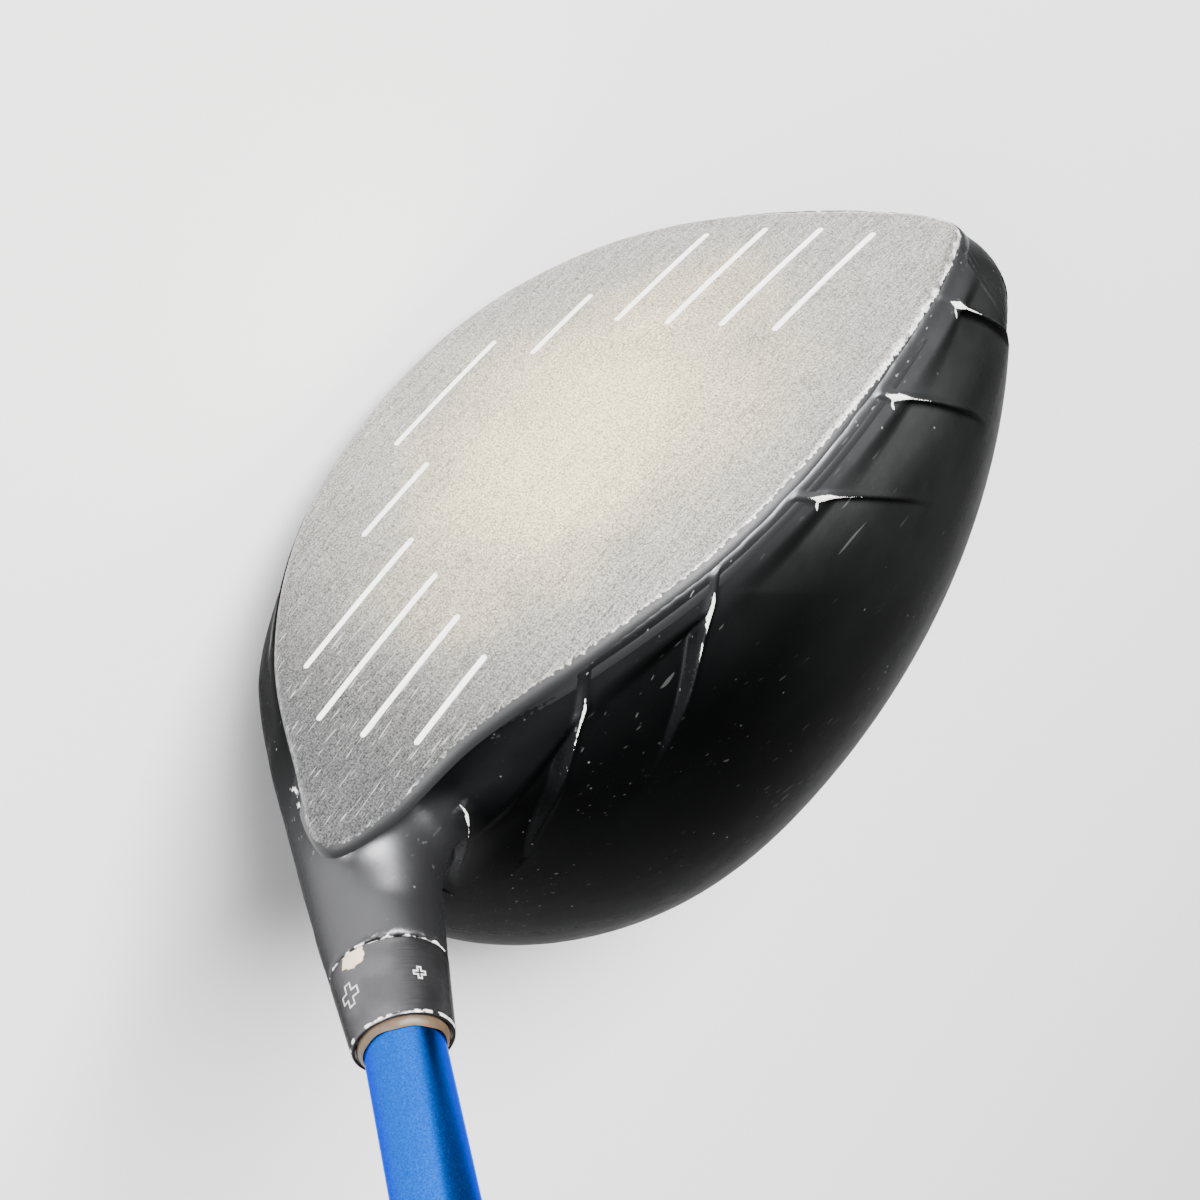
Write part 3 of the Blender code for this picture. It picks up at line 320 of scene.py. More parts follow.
class Column:
    """One line of the head's surface, from the face outline back to the tail."""

    def __init__(self, outline_point):
        self.front = face_point(*outline_point)
        x, y, z = self.front
        self.angle = atan2((z - 16.0) / (13.5 if z > 16.0 else 43.0), x / 55.5)
        section_x, section_z = section(y, self.angle)
        self.offset = (x - section_x, z - section_z)
        crown_share = smooth((sin(self.angle) + 0.3) / 0.6)
        self.blend = SOLE_BLEND + (CROWN_BLEND - SOLE_BLEND) * crown_share

    def at(self, y):
        x, z = section(y, self.angle)
        keep = 1.0 - smooth((y - self.front[1]) / self.blend)
        return (x + keep * self.offset[0], y, z + keep * self.offset[1])


OUTLINE = closed_spline(FACE_OUTLINE, COLUMNS)
COLUMN_SET = [Column(point) for point in OUTLINE]


def ridge_x(ridge, y):
    """A crown ridge's x at depth y; the line bows outwards and runs straight on past its ends."""
    tip_x, tip_y, end_x, end_y, bulge = ridge
    share = (y - tip_y) / (end_y - tip_y)
    outwards = 1.0 if end_x > tip_x else -1.0
    bow = bulge * outwards * 4.0 * share * (1.0 - share) if 0.0 < share < 1.0 else 0.0
    return tip_x + (end_x - tip_x) * share + bow


def lip_width(x):
    return LIP_WIDTH + max(0.0, x - 22.0) * 0.38


def ridge_share(ridge, y):
    return (y - ridge[1]) / (ridge[3] - ridge[1])


def relief(x, y, behind):
    """How far the crown sinks (positive) or rises (negative) at a point of its front band."""
    start = behind - lip_width(x)
    if start <= -3.0:
        return 0.0
    along = smooth(start / 2.5) * max(0.0, 1.0 - start / RECESS_LENGTH) ** 1.1
    lines = [ridge_x(ridge, y) for ridge in RIDGES]
    across = 0.0
    if x < lines[0]:
        across = 0.8 * max(0.0, 1.0 - (lines[0] - x) / 9.0) * smooth((lines[0] - x) / 0.7)
    for ridge, line, following, strength in zip(RIDGES, lines, lines[1:] + [1000.0], PANEL_STRENGTH):
        if line <= x < following:
            reach = min(following - line, PANEL_REACH)
            fold = 1.0 - smooth((ridge_share(ridge, y) - 0.55) / 0.7)
            fall = max(0.0, 1.0 - (x - line) / reach)
            steep = fall * smooth((x - line) / 0.6)
            across = strength * (steep * fold + (1.0 - fold) * 0.25 * fall * (1.0 - fall))
    sunk = RECESS_DEPTH * along * across
    for ridge, line in zip(RIDGES, lines):
        share = ridge_share(ridge, y)
        if -0.3 < share < 1.05:
            crest = smooth((share + 0.3) / 0.3) * (1.0 - 0.6 * smooth((share - 0.05) / 0.3))
            crest *= 1.0 - smooth((share - 0.5) / 0.5)
            spread = RIDGE_WIDTH + 0.7 * smooth(0.35 - abs(share - 0.02) * 2.2)
            distance = abs(x - line) / spread
            sunk -= RIDGE_HEIGHT * crest * max(0.0, 1.0 - distance * distance / 4.0) ** 2
    return sunk


def tip_mark(x, y):
    """From 0 to 1, how close a crown point is to the tip of a ridge: chipped paint at the tip, and a painted
    highlight streak down the crest.
    """
    best = 0.0
    for ridge, chip_and_highlight in zip(RIDGES, TIP_CHIP_AND_HIGHLIGHT):
        share = ridge_share(ridge, y)
        distance = abs(x - ridge_x(ridge, y))
        width = (0.3 + 1.1 * max(0.0, 1.0 - abs(share - 0.02) / 0.10)) * (0.2 + 0.8 * chip_and_highlight)
        strength = 1.0 - smooth((share - 0.08) / 0.5) if share > 0.0 else 1.0 - smooth(-share / 0.2)
        strength *= 0.62 + 0.38 * min(1.0, chip_and_highlight * 2.0)
        arm = abs(x - ridge_x(ridge, ridge[1]) - 0.35 * (y - ridge[1]) - 0.6)
        on_arm = max(0.0, 1.0 - arm / 0.5) * (1.0 - smooth(abs(y - ridge[1] - 0.6) / 1.6))
        best = max(best, strength * max(0.0, 1.0 - distance / width), 0.9 * on_arm if ridge[0] < 0.0 else 0.0)
    return best


def head_form(front_gap, rows=64):
    """The head's plain outer form as a closed solid that starts front_gap behind the face outline."""
    mesh_data = bmesh.new()
    loops = []
    for row in range(rows):
        share = row / rows
        loop = []
        for column in COLUMN_SET:
            first = column.front[1] + front_gap
            depth = first + (TAIL_Y - first) * (0.42 * share + 0.58 * sin(pi / 2.0 * share)) \
                if share > 0.0 else first
            loop.append(mesh_data.verts.new(to_world(column.at(min(depth, TAIL_Y - 0.05)))))
        loops.append(loop)
    for first, second in zip(loops, loops[1:]):
        skin(mesh_data, first, second)
    skin(mesh_data, loops[-1], [mesh_data.verts.new(to_world((0.0, TAIL_Y, TAIL_Z)))])
    rim = [column.at(column.front[1] + front_gap) for column in COLUMN_SET]
    loop = loops[0]
    for scale in (0.85, 0.6, 0.3, 0.0):
        points = [(x * scale, face_depth(x * scale, z * scale) + front_gap, z * scale) for x, _, z in rim]
        if scale == 0.0:
            points = points[:1]
        inner = [mesh_data.verts.new(to_world(point)) for point in points]
        skin(mesh_data, loop, inner)
        loop = inner
    return make_object("head_form", mesh_data)


def barrel_radius(along):
    for (low, first), (high, second) in zip(BARREL, BARREL[1:]):
        if along <= high:
            return first + (second - first) * (along - low) / (high - low)
    return BARREL[-1][1]


def weight_axis():
    return axis_matrix(to_world((0.0, WEIGHT_Y, levels(WEIGHT_Y)[2])), WEIGHT_DIRECTION)


def widened(target, factor):
    for vertex in target.data.vertices:
        x, y, z = to_head(vertex.co)
        vertex.co = to_world((x * factor, y, z))
    return target


def head_solid():
    """Head, neck and heel pod in one even mesh, with the neck melted into the crown."""
    solid = head_form(front_gap=0.7)
    combine(solid, turned("neck", [(2.0, 0.0), (2.0, barrel_radius(2.0))] + list(BARREL[2:])
                          + [(HOSEL_TOP, 0.0)]), "UNION")
    flare_lean = Matrix.Rotation(radians(-13.0), 4, Vector((-0.55, -0.83, 0.0)))
    flare_base = axis_matrix(HOSEL_POINT + HOSEL_DIRECTION * 17.0 * MM, HOSEL_DIRECTION) @ flare_lean
    combine(solid, turned("neck_flare", [(-24.0, 0.0), (-24.0, 10.6), (-12.0, 8.9), (-5.0, 7.7),
                                         (0.0, 6.7), (0.0, 0.0)], flare_base), "UNION")
    pod = turned("heel_pod", [(-48.0, 0.0), (-48.0, 7.9)] + list(BARREL[:2])
                 + [(4.0, barrel_radius(4.0)), (4.0, 0.0)])
    combine(pod, widened(head_form(front_gap=0.7), 1.2), "INTERSECT")
    combine(solid, pod, "UNION")
    combine(solid, post("bore", POCKET_TOP - 1.0, HOSEL_TOP + 5.0, BORE_RADIUS), "DIFFERENCE")
    combine(solid, post("pocket", -60.0, POCKET_TOP, POCKET_RADIUS), "DIFFERENCE")
    combine(solid, post("port", -20.0, PORT_DEPTH, WEIGHT_RADIUS + 0.3, weight_axis()), "DIFFERENCE")
    remesh = solid.modifiers.new("remesh", "REMESH")
    remesh.mode = "VOXEL"
    remesh.voxel_size = VOXEL * MM
    remesh.use_smooth_shade = True
    apply_modifiers(solid)
    return solid


def melt(solid):
    """Smooth the whole mesh a little, and the root of the neck a lot."""
    root = solid.vertex_groups.new(name="root")
    rest = solid.vertex_groups.new(name="rest")
    for vertex in solid.data.vertices:
        along, radial = hosel_place(vertex.co)
        near = 1.0 - smooth((radial - 10.0) / 9.0)
        inside = smooth((radial - 6.9) / 0.6)
        weight = near * inside * (1.0 - smooth((along - 12.0) / 6.0)) * smooth((along + 19.0) / 6.0)
        if weight > 0.01:
            root.add([vertex.index], weight, "REPLACE")
        if along < HOSEL_TOP - 1.2:
            rest.add([vertex.index], inside if radial < 12.0 else 1.0, "REPLACE")
    for group, rounds in ((root.name, 160), (rest.name, 12)):
        relax = solid.modifiers.new("relax_" + group, "SMOOTH")
        relax.vertex_group = group
        relax.iterations = rounds
        relax.factor = 0.5
    apply_modifiers(solid)


def sculpt_crown(solid):
    """Refine the crown's front band and sink the panels between the ridges into it."""
    mesh_data = bmesh.new()
    mesh_data.from_mesh(solid.data)
    front_y = front_depths()

    def in_band(place):
        x, y, z = to_head(place)
        return -58.0 < x < 52.0 and z > 6.0 and -0.5 < y - front_y(x) < 32.0

    edges = [edge for edge in mesh_data.edges
             if in_band((edge.verts[0].co + edge.verts[1].co) / 2.0) and edge.verts[0].normal.z > 0.2]
    bmesh.ops.subdivide_edges(mesh_data, edges=edges, cuts=1, use_grid_fill=True)
    band = [vertex for vertex in mesh_data.verts if in_band(vertex.co)]
    for _ in range(4):
        bmesh.ops.smooth_vert(mesh_data, verts=band, factor=0.5,
                              use_axis_x=True, use_axis_y=True, use_axis_z=True)
    mesh_data.normal_update()
    marks = {}
    for vertex in band:
        if vertex.normal.z < 0.05:
            continue
        x, y, _ = to_head(vertex.co)
        behind = y - front_y(x)
        radial = hosel_place(vertex.co)[1]
        clear = smooth((radial - 8.5) / 3.0) * smooth((vertex.normal.z - 0.05) / 0.35)
        # tip marks: chipped paint at the ridge tips and a painted highlight along each crest
        marks[vertex.index] = tip_mark(x, y) * clear
        vertex.co.z -= relief(x, y, behind) * clear * MM
    mesh_data.verts.ensure_lookup_table()
    mesh_data.to_mesh(solid.data)
    count = len(mesh_data.verts)
    mesh_data.free()
    tips = np.zeros(count, dtype=np.float32)
    for index, value in marks.items():
        tips[index] = value
    store(solid, "tip", tips)
    lips = np.full(count, 40.0, dtype=np.float32)
    for vertex in solid.data.vertices:
        x, y, z = to_head(vertex.co)
        if z > 0.0:
            lips[vertex.index] = y - front_y(x)
    store(solid, "behind", lips)
    rings = np.zeros(count, dtype=np.float32)
    neck_sheen_mask = np.zeros(count, dtype=np.float32)
    for vertex in solid.data.vertices:
        along, radial = hosel_place(vertex.co)
        rings[vertex.index] = HOSEL_TOP - along
        # the neck mask, where the paint is lightened as a painted sheen
        neck_sheen_mask[vertex.index] = (1.0 - smooth((radial - 9.0) / 7.0)) \
            * (1.0 - smooth((rings[vertex.index] - 12.0) / 18.0))
    store(solid, "below_ring", rings)
    store(solid, "neck", neck_sheen_mask)


def front_depths():
    """The y of the top line at a given x, from the upper half of the face outline."""
    upper = sorted((column.front[0], column.front[1]) for column in COLUMN_SET if column.front[2] > 8.0)
    xs = [x for x, _ in upper]
    ys = [y for _, y in upper]
    return lambda x: float(np.interp(x, xs, ys))


def seam_side(place):
    """Above or below the line where the crown meets the body, in mm."""
    x, y, z = to_head(place)
    return z - levels(min(y, TAIL_Y - 0.01))[1] - shear(y) * x


def split_head(solid):
    """Part the finished skin into the crown and the body along their seam."""
    pieces = []
    for name, want_crown in (("crown_skin", True), ("body_skin", False)):
        mesh_data = bmesh.new()
        mesh_data.from_mesh(solid.data)
        extra = []
        for face in mesh_data.faces:
            centre = face.calc_center_median()
            along, radial = hosel_place(centre)
            is_crown = seam_side(centre) > 0.0 and (radial > 11.5 or along < -14.0)
            if is_crown != want_crown:
                extra.append(face)
        bmesh.ops.delete(mesh_data, geom=extra, context="FACES")
        mesh = bpy.data.meshes.new(name)
        mesh_data.to_mesh(mesh)
        mesh_data.free()
        mesh.shade_smooth()
        piece = bpy.data.objects.new(name, mesh)
        bpy.context.scene.collection.objects.link(piece)
        pieces.append(piece)
    bpy.data.objects.remove(solid)
    return pieces


# ---------------------------------------------------------------- face
EDGE_ROUND = 1.5
EDGE_INSETS = (0.0, 0.04, 0.14, 0.3, 0.5, 0.8, 1.15, 1.5, 2.0, 2.8, 3.8)
INNER_RINGS = 22
WALL_DEPTHS = (3.4, 2.9, 2.4, 2.0)


def outline_inset(distance):
    """The face outline moved inwards by a distance, with its 2-D normals."""
    moved = []
    for k, point in enumerate(OUTLINE):
        tangent = OUTLINE[(k + 1) % COLUMNS] - OUTLINE[k - 1]
        normal = Vector((tangent.y, -tangent.x)).normalized()
        if normal.dot(point) > 0.0:
            normal = -normal
        moved.append(point + normal * distance)
    return moved


def score_segments():
    segments = [(SCORE_FIRST, -CENTRE_SCORE_HALF, CENTRE_SCORE_HALF)]
    for row, (inner, toe, heel) in enumerate(SIDE_SCORES, start=1):
        height = SCORE_FIRST + SCORE_PITCH * row
        segments += [(height, -toe, -inner), (height, inner, heel)]
    return segments


def score_bars(name, half_width, outer, floor):
    """Round-ended bars that follow the bulge; outer and floor are depths behind the striking surface."""
    mesh_data = bmesh.new()
    for height, start, end in score_segments():
        outline = []
        for side, middle in ((1.0, end - half_width), (-1.0, start + half_width)):
            for k in range(9):
                turn = -pi / 2.0 + pi * k / 8.0
                outline.append((middle + side * half_width * cos(turn), side * half_width * sin(turn)))
            for k in range(1, 12):
                share = k / 12.0
                low, high = start + half_width, end - half_width
                x = high + (low - high) * share if side > 0.0 else low + (high - low) * share
                outline.append((x, side * half_width))
        loops = []
        for depth in (outer, floor):
            loop = []
            for x, across in outline:
                px, py, pz = face_point(x, height + across)
                loop.append(mesh_data.verts.new(to_world((px, py + depth, pz))))
            loops.append(loop)
        skin(mesh_data, loops[0], loops[1])
        for loop in loops:
            mesh_data.faces.new(loop)
    return make_object(name, mesh_data, shaded=False)


def build_face():
    """The face plate's visible skin: grooved front, rolled edge and the painted wall behind it."""
    rings = []
    for depth in WALL_DEPTHS:
        ring = []
        for column in COLUMN_SET:
            x, y, z = column.at(column.front[1] + depth)
            outward = Vector((x, 0.0, z - 4.0)).normalized() * (0.06 if depth < 3.3 else -0.15)
            ring.append((x + outward.x, y, z + outward.z))
        rings.append(ring)
    for inset in EDGE_INSETS:
        drop = EDGE_ROUND - sqrt(max(0.0, EDGE_ROUND ** 2 - max(0.0, EDGE_ROUND - inset) ** 2))
        ring = []
        for x, height in outline_inset(inset):
            px, py, pz = face_point(x, height)
            ring.append((px, py + drop, pz))
        rings.append(ring)
    inner = outline_inset(EDGE_INSETS[-1])
    for k in range(1, INNER_RINGS):
        scale = 1.0 - k / INNER_RINGS
        rings.append([face_point(x * scale, height * scale) for x, height in inner])
    mesh_data = bmesh.new()
    placed = [[mesh_data.verts.new(to_world(point)) for point in ring] for ring in rings]
    for first, second in zip(placed, placed[1:]):
        skin(mesh_data, first, second)
    skin(mesh_data, placed[-1], [mesh_data.verts.new(to_world(face_point(0.0, 0.0)))])
    back_rim = rings[0]
    loop = placed[0]
    for scale in (0.7, 0.35, 0.0):
        points = [(x * scale, face_depth(x * scale, z * scale) + 2.9, z * scale) for x, _, z in back_rim]
        if scale == 0.0:
            points = points[:1]
        back = [mesh_data.verts.new(to_world(point)) for point in points]
        skin(mesh_data, loop, back)
        loop = back
    face = make_object("face_skin", mesh_data)
    combine(face, score_bars("score_cutters", SCORE_WIDTH / 2.0, -1.0, SCORE_DEPTH), "DIFFERENCE")
    crisp(face, 40.0)
    values = np.zeros(len(face.data.vertices), dtype=np.float32)
    insets = np.array([(p.x, p.y) for p in OUTLINE])
    for vertex in face.data.vertices:
        x, y, z = to_head(vertex.co)
        behind = y - face_depth(x, z)
        distance = float(np.min(np.hypot(insets[:, 0] - x, insets[:, 1] - z / cos(LOFT))))
        values[vertex.index] = distance - max(0.0, behind) if behind < 1.2 else -behind
    store(face, "rim", values)
    paint = score_bars("score_paint", SCORE_WIDTH / 2.0 - 0.02, 0.05, SCORE_DEPTH - 0.02)
    return face, paint


# ---------------------------------------------------------------- sleeve, shaft and grip
def build_sleeve():
    bolt_clear = 2.65
    socket = TIP_RADIUS + 0.23
    low, high = HOSEL_TOP + 0.2, HOSEL_TOP + COLLAR_LENGTH
    lip = [(high - 0.55 + 0.55 * sin(turn), COLLAR_END_RADIUS - 0.2 + 0.27 * cos(turn))
           for turn in (pi / 2.0 * k / 6.0 for k in range(7))]
    foot = [(low + 0.3 - 0.3 * cos(turn), COLLAR_RADIUS - 0.3 + 0.3 * sin(turn))
            for turn in (pi / 2.0 * k / 5.0 for k in range(6))]
    waist = [(foot[-1][0] + (lip[0][0] - foot[-1][0]) * k / 12.0,
              foot[-1][1] + (lip[0][1] - foot[-1][1]) * k / 12.0) for k in range(1, 12)]
    sleeve = turned("sleeve_skin", [
        (SLEEVE_BOTTOM, bolt_clear), (SLEEVE_BOTTOM, SLEEVE_RADIUS - 0.3),
        (SLEEVE_BOTTOM + 0.4, SLEEVE_RADIUS), (low, SLEEVE_RADIUS)]
        + foot + waist + lip
        + [(high - 0.1, 5.12), (high - 0.35, 5.02), (high - 1.2, socket), (SLEEVE_FLOOR, socket),
           (SLEEVE_FLOOR, bolt_clear)], closed=True)
    for k in range(SPLINES):
        mesh_data = bmesh.new()
        slot = bmesh.ops.create_cube(mesh_data, size=1.0)["verts"]
        bottom, top = SLEEVE_BOTTOM - 1.0, INSERT_TOP + 0.6
        size = Vector((SLEEVE_RADIUS + 1.0 - SLOT_RADIUS, SLOT_WIDTH, top - bottom)) * MM
        place = Vector(((SLEEVE_RADIUS + 1.0 + SLOT_RADIUS) / 2.0, 0.0, (top + bottom) / 2.0)) * MM
        turn = Matrix.Rotation(pi / SPLINES + 2.0 * pi * k / SPLINES, 4, "Z")
        bmesh.ops.scale(mesh_data, vec=size, verts=slot)
        bmesh.ops.transform(mesh_data, matrix=HOSEL_AXIS @ turn @ Matrix.Translation(place), verts=slot)
        combine(sleeve, make_object("slot", mesh_data, shaded=False), "DIFFERENCE")
    crisp(sleeve, 34.0)
    return sleeve


def collar_radius(along):
    share = (along - HOSEL_TOP - 0.5) / (COLLAR_LENGTH - 1.05)
    return COLLAR_RADIUS + (COLLAR_END_RADIUS + 0.07 - COLLAR_RADIUS) * share


def hosel_turn(x, y, z=0.0):
    """The angle round the hosel's axis that faces a direction."""
    local = HOSEL_AXIS.to_3x3().inverted() @ Vector((x, y, z))
    return atan2(local.y, local.x)


def build_index_marks():
    """Two outlined plus signs, a small and a large one, printed on the collar."""
    mesh_data = bmesh.new()
    for facing, along, arm, half in ((MARK_SMALL_TURN, 27.0, 0.75, 0.28), (MARK_LARGE_TURN, 27.0, 1.35, 0.5)):
        corners = [(half, half), (half, arm), (-half, arm), (-half, half), (-arm, half), (-arm, -half),
                   (-half, -half), (-half, -arm), (half, -arm), (half, -half), (arm, -half), (arm, half)]
        inner = [(x - 0.17 * (1 if x > 0 else -1), y - 0.17 * (1 if y > 0 else -1)) for x, y in corners]
        loops = []
        for loop, lift in ((corners, 0.0), (corners, 0.03), (inner, 0.03), (inner, 0.0)):
            ring = []
            for across, up in loop:
                height = along + up
                radius = collar_radius(height) + lift
                turn = facing + across / radius
                ring.append(mesh_data.verts.new(ring_point(HOSEL_AXIS, radius, turn, height)))
            loops.append(ring)
        for first, second in zip(loops, loops[1:] + loops[:1]):
            skin(mesh_data, first, second)
    return make_object("index_marks", mesh_data, shaded=False)


MARK_SMALL_TURN = hosel_turn(-0.65, -0.64, 0.41)
MARK_LARGE_TURN = hosel_turn(0.39, -0.89, -0.25)
PATCH_TURN = hosel_turn(0.14, -0.83, -0.09)         # where the sleeve's foot is worn bare


def shaft_radius(along):
    for (low, first), (high, second) in zip(SHAFT_TAPER, SHAFT_TAPER[1:]):
        if along <= high:
            return first + (second - first) * (along - low) / (high - low)
    return SHAFT_TAPER[-1][1]


def build_shaft():
    low, high = SHAFT_TAPER[0][0], BUTT_END
    stations = [low + 0.4 + (high - low - 0.4) * k / 120.0 for k in range(121)]
    outside = [(low, TIP_RADIUS - 0.2)] + [(along, shaft_radius(along)) for along in stations]
    inside = [(along, radius - 1.1) for along, radius in SHAFT_TAPER]
    return turned("shaft_skin", outside + inside[::-1], closed=True)


def build_epoxy():
    """The ring of glue that was wiped off at the sleeve's mouth, a little uneven."""
    mouth = HOSEL_TOP + COLLAR_LENGTH
    inner = TIP_RADIUS + 0.06
    ring = [(mouth - 0.9, inner), (mouth - 0.9, inner + 0.14), (mouth - 0.25, 4.93), (mouth + 0.05, 4.92),
            (mouth + 0.3, 4.8), (mouth + 0.55, 4.62), (mouth + 0.72, inner)]
    bead = turned("epoxy_ring", ring, closed=True, sharp=60.0)
    for vertex in bead.data.vertices:
        local = HOSEL_AXIS.inverted() @ vertex.co
        turn = atan2(local.y, local.x)
        lift = 0.12 * sin(3.0 * turn + 0.6) + 0.07 * sin(7.0 * turn)
        share = smooth((local.z / MM - mouth) / 0.4)
        vertex.co += HOSEL_DIRECTION * lift * share * MM
    return bead


GRIP_SEGMENTS, GRIP_STATIONS = 160, 900
GROOVE_PITCH, GROOVE_DEPTH = 4.0, 0.38


def grip_radius(share):
    return GRIP_MOUTH_RADIUS + (GRIP_TOP_RADIUS - GRIP_MOUTH_RADIUS) * share ** 1.2


def build_grip():
    """Moulded rubber: rows of slanted grooves that cross, with plain bands between the panels."""
    low, high = CAP_END - GRIP_LENGTH, CAP_END - 3.9
    top = high - 14.0
    mesh_data = bmesh.new()
    loops = []
    for row in range(GRIP_STATIONS + 1):
        share = row / GRIP_STATIONS
        along = low + (high - low) * share
        body = min((along - low) / (top - low), 1.0)
        radius = grip_radius(body) + 1.6 * smooth((along - top) / 14.0)
        radius -= 0.7 * (1.0 - smooth((along - low) / 1.2))
        panel = (along - low - 10.0) % 47.0
        patterned = smooth(panel / 2.0) * (1.0 - smooth((panel - 39.0) / 2.0))
        patterned *= smooth((along - low - 9.0) / 2.0) * (1.0 - smooth((along - top + 2.0) / 3.0))
        loop = []
        for turn in turns(GRIP_SEGMENTS):
            wave = 0.0
            for slant in (6.0, -6.0):
                phase = (along / GROOVE_PITCH + slant * turn / (2.0 * pi)) % 1.0
                wave = max(wave, 1.0 - smooth(abs(phase - 0.5) / 0.13))
            depth = GROOVE_DEPTH * wave * patterned
            loop.append(mesh_data.verts.new(ring_point(HOSEL_AXIS, radius - depth, turn, along)))
        loops.append(loop)
    for along in (high, low):
        radius = shaft_radius(along) + 0.5
        loops.append([mesh_data.verts.new(ring_point(HOSEL_AXIS, radius, turn, along))
                      for turn in turns(GRIP_SEGMENTS)])
    for first, second in zip(loops, loops[1:] + loops[:1]):
        skin(mesh_data, first, second)
    grip = make_object("grip_skin", mesh_data)
    grip.data.set_sharp_from_angle(angle=radians(50.0))
    return grip


def build_cap():
    high = CAP_END - 3.9
    cap = GRIP_TOP_RADIUS + 1.6
    rounded = [(CAP_END - 1.0 + 1.0 * sin(turn), cap - 1.0 + 1.0 * cos(turn))
               for turn in (pi / 2.0 * k / 8.0 for k in range(9))]
    rings = []
    for radius in (11.0, 8.0, 5.0):
        rings += [(CAP_END, radius + 0.5), (CAP_END - 0.35, radius + 0.25), (CAP_END - 0.35, radius - 0.25),
                  (CAP_END, radius - 0.5)]
    return turned("grip_cap_skin", [(high + 0.2, 1.2), (high + 0.2, cap - 0.3), (high + 0.5, cap)]
                  + rounded + rings + [(CAP_END, 1.7), (CAP_END - 0.4, 1.2)], closed=True, sharp=50.0)


# ---------------------------------------------------------------- screws and weight
def wrench_socket(name, low, high, axis):
    mesh_data = bmesh.new()
    loops = []
    for along in (low, high):
        loop = []
        for turn in turns(96):
            radius = 1.75 + 0.25 * cos(6.0 * turn)
            loop.append(mesh_data.verts.new(ring_point(axis, radius, turn, along)))
        loops.append(loop)
    skin(mesh_data, loops[0], loops[1])
    mesh_data.faces.new(loops[0])
    mesh_data.faces.new(loops[1])
    return make_object(name, mesh_data, shaded=False)


def screw(name, head_low, head_height, tip, axis, socket_depth):
    """A flat-headed screw with a chamfered head, a threaded shank and a six-lobed socket."""
    radius, head = 2.5, 4.2
    profile = [(head_low, 0.0), (head_low, head - 0.5), (head_low + 0.12, head - 0.2), (head_low + 0.4, head),
               (head_low + head_height - 0.15, head), (head_low + head_height, head - 0.15),
               (head_low + head_height, radius - 0.3)]
    along = head_low + head_height + 0.8
    while along < tip - 1.0:
        profile += [(along, radius - 0.3), (along + 0.3, radius), (along + 0.5, radius),
                    (along + 0.8, radius - 0.3)]
        along += 0.8
    profile += [(tip - 0.5, radius - 0.3), (tip, radius - 0.8), (tip, 0.0)]
    made = turned(name, profile, axis, segments=96, sharp=28.0)
    combine(made, wrench_socket("socket", head_low - 1.0, head_low + socket_depth, axis), "DIFFERENCE")
    crisp(made, 28.0)
    return made


def build_weight():
    axis = weight_axis()
    seat, hole, head = 6.3, 2.8, 4.2
    rim = [(0.3 + 0.6 * (1.0 - sin(turn)), WEIGHT_RADIUS - 0.6 + 0.6 * cos(turn))
           for turn in (pi / 2.0 * k / 5.0 for k in range(6))]
    made = turned("weight_skin", [
        (3.5, hole), (seat, hole), (seat, WEIGHT_RADIUS - 0.4), (seat - 0.4, WEIGHT_RADIUS)]
        + rim + [(0.3, 7.6), (0.55, 7.45), (0.55, 7.15), (0.3, 7.0), (0.3, head + 0.75),
                 (0.75, head + 0.3), (3.5, head + 0.3)], axis, closed=True)
    for k in range(3):
        mesh_data = bmesh.new()
        bmesh.ops.create_cone(mesh_data, cap_ends=True, segments=32, radius1=0.55 * MM, radius2=0.55 * MM,
                              depth=1.2 * MM)
        spot = Matrix.Rotation(2.0 * pi * k / 3.0, 4, "Z") @ Matrix.Translation((6.0 * MM, 0.0, 0.3 * MM))
        bmesh.ops.transform(mesh_data, matrix=axis @ spot, verts=mesh_data.verts)
        combine(made, make_object("dimple", mesh_data, shaded=False), "DIFFERENCE")
    crisp(made, 30.0)
    return made


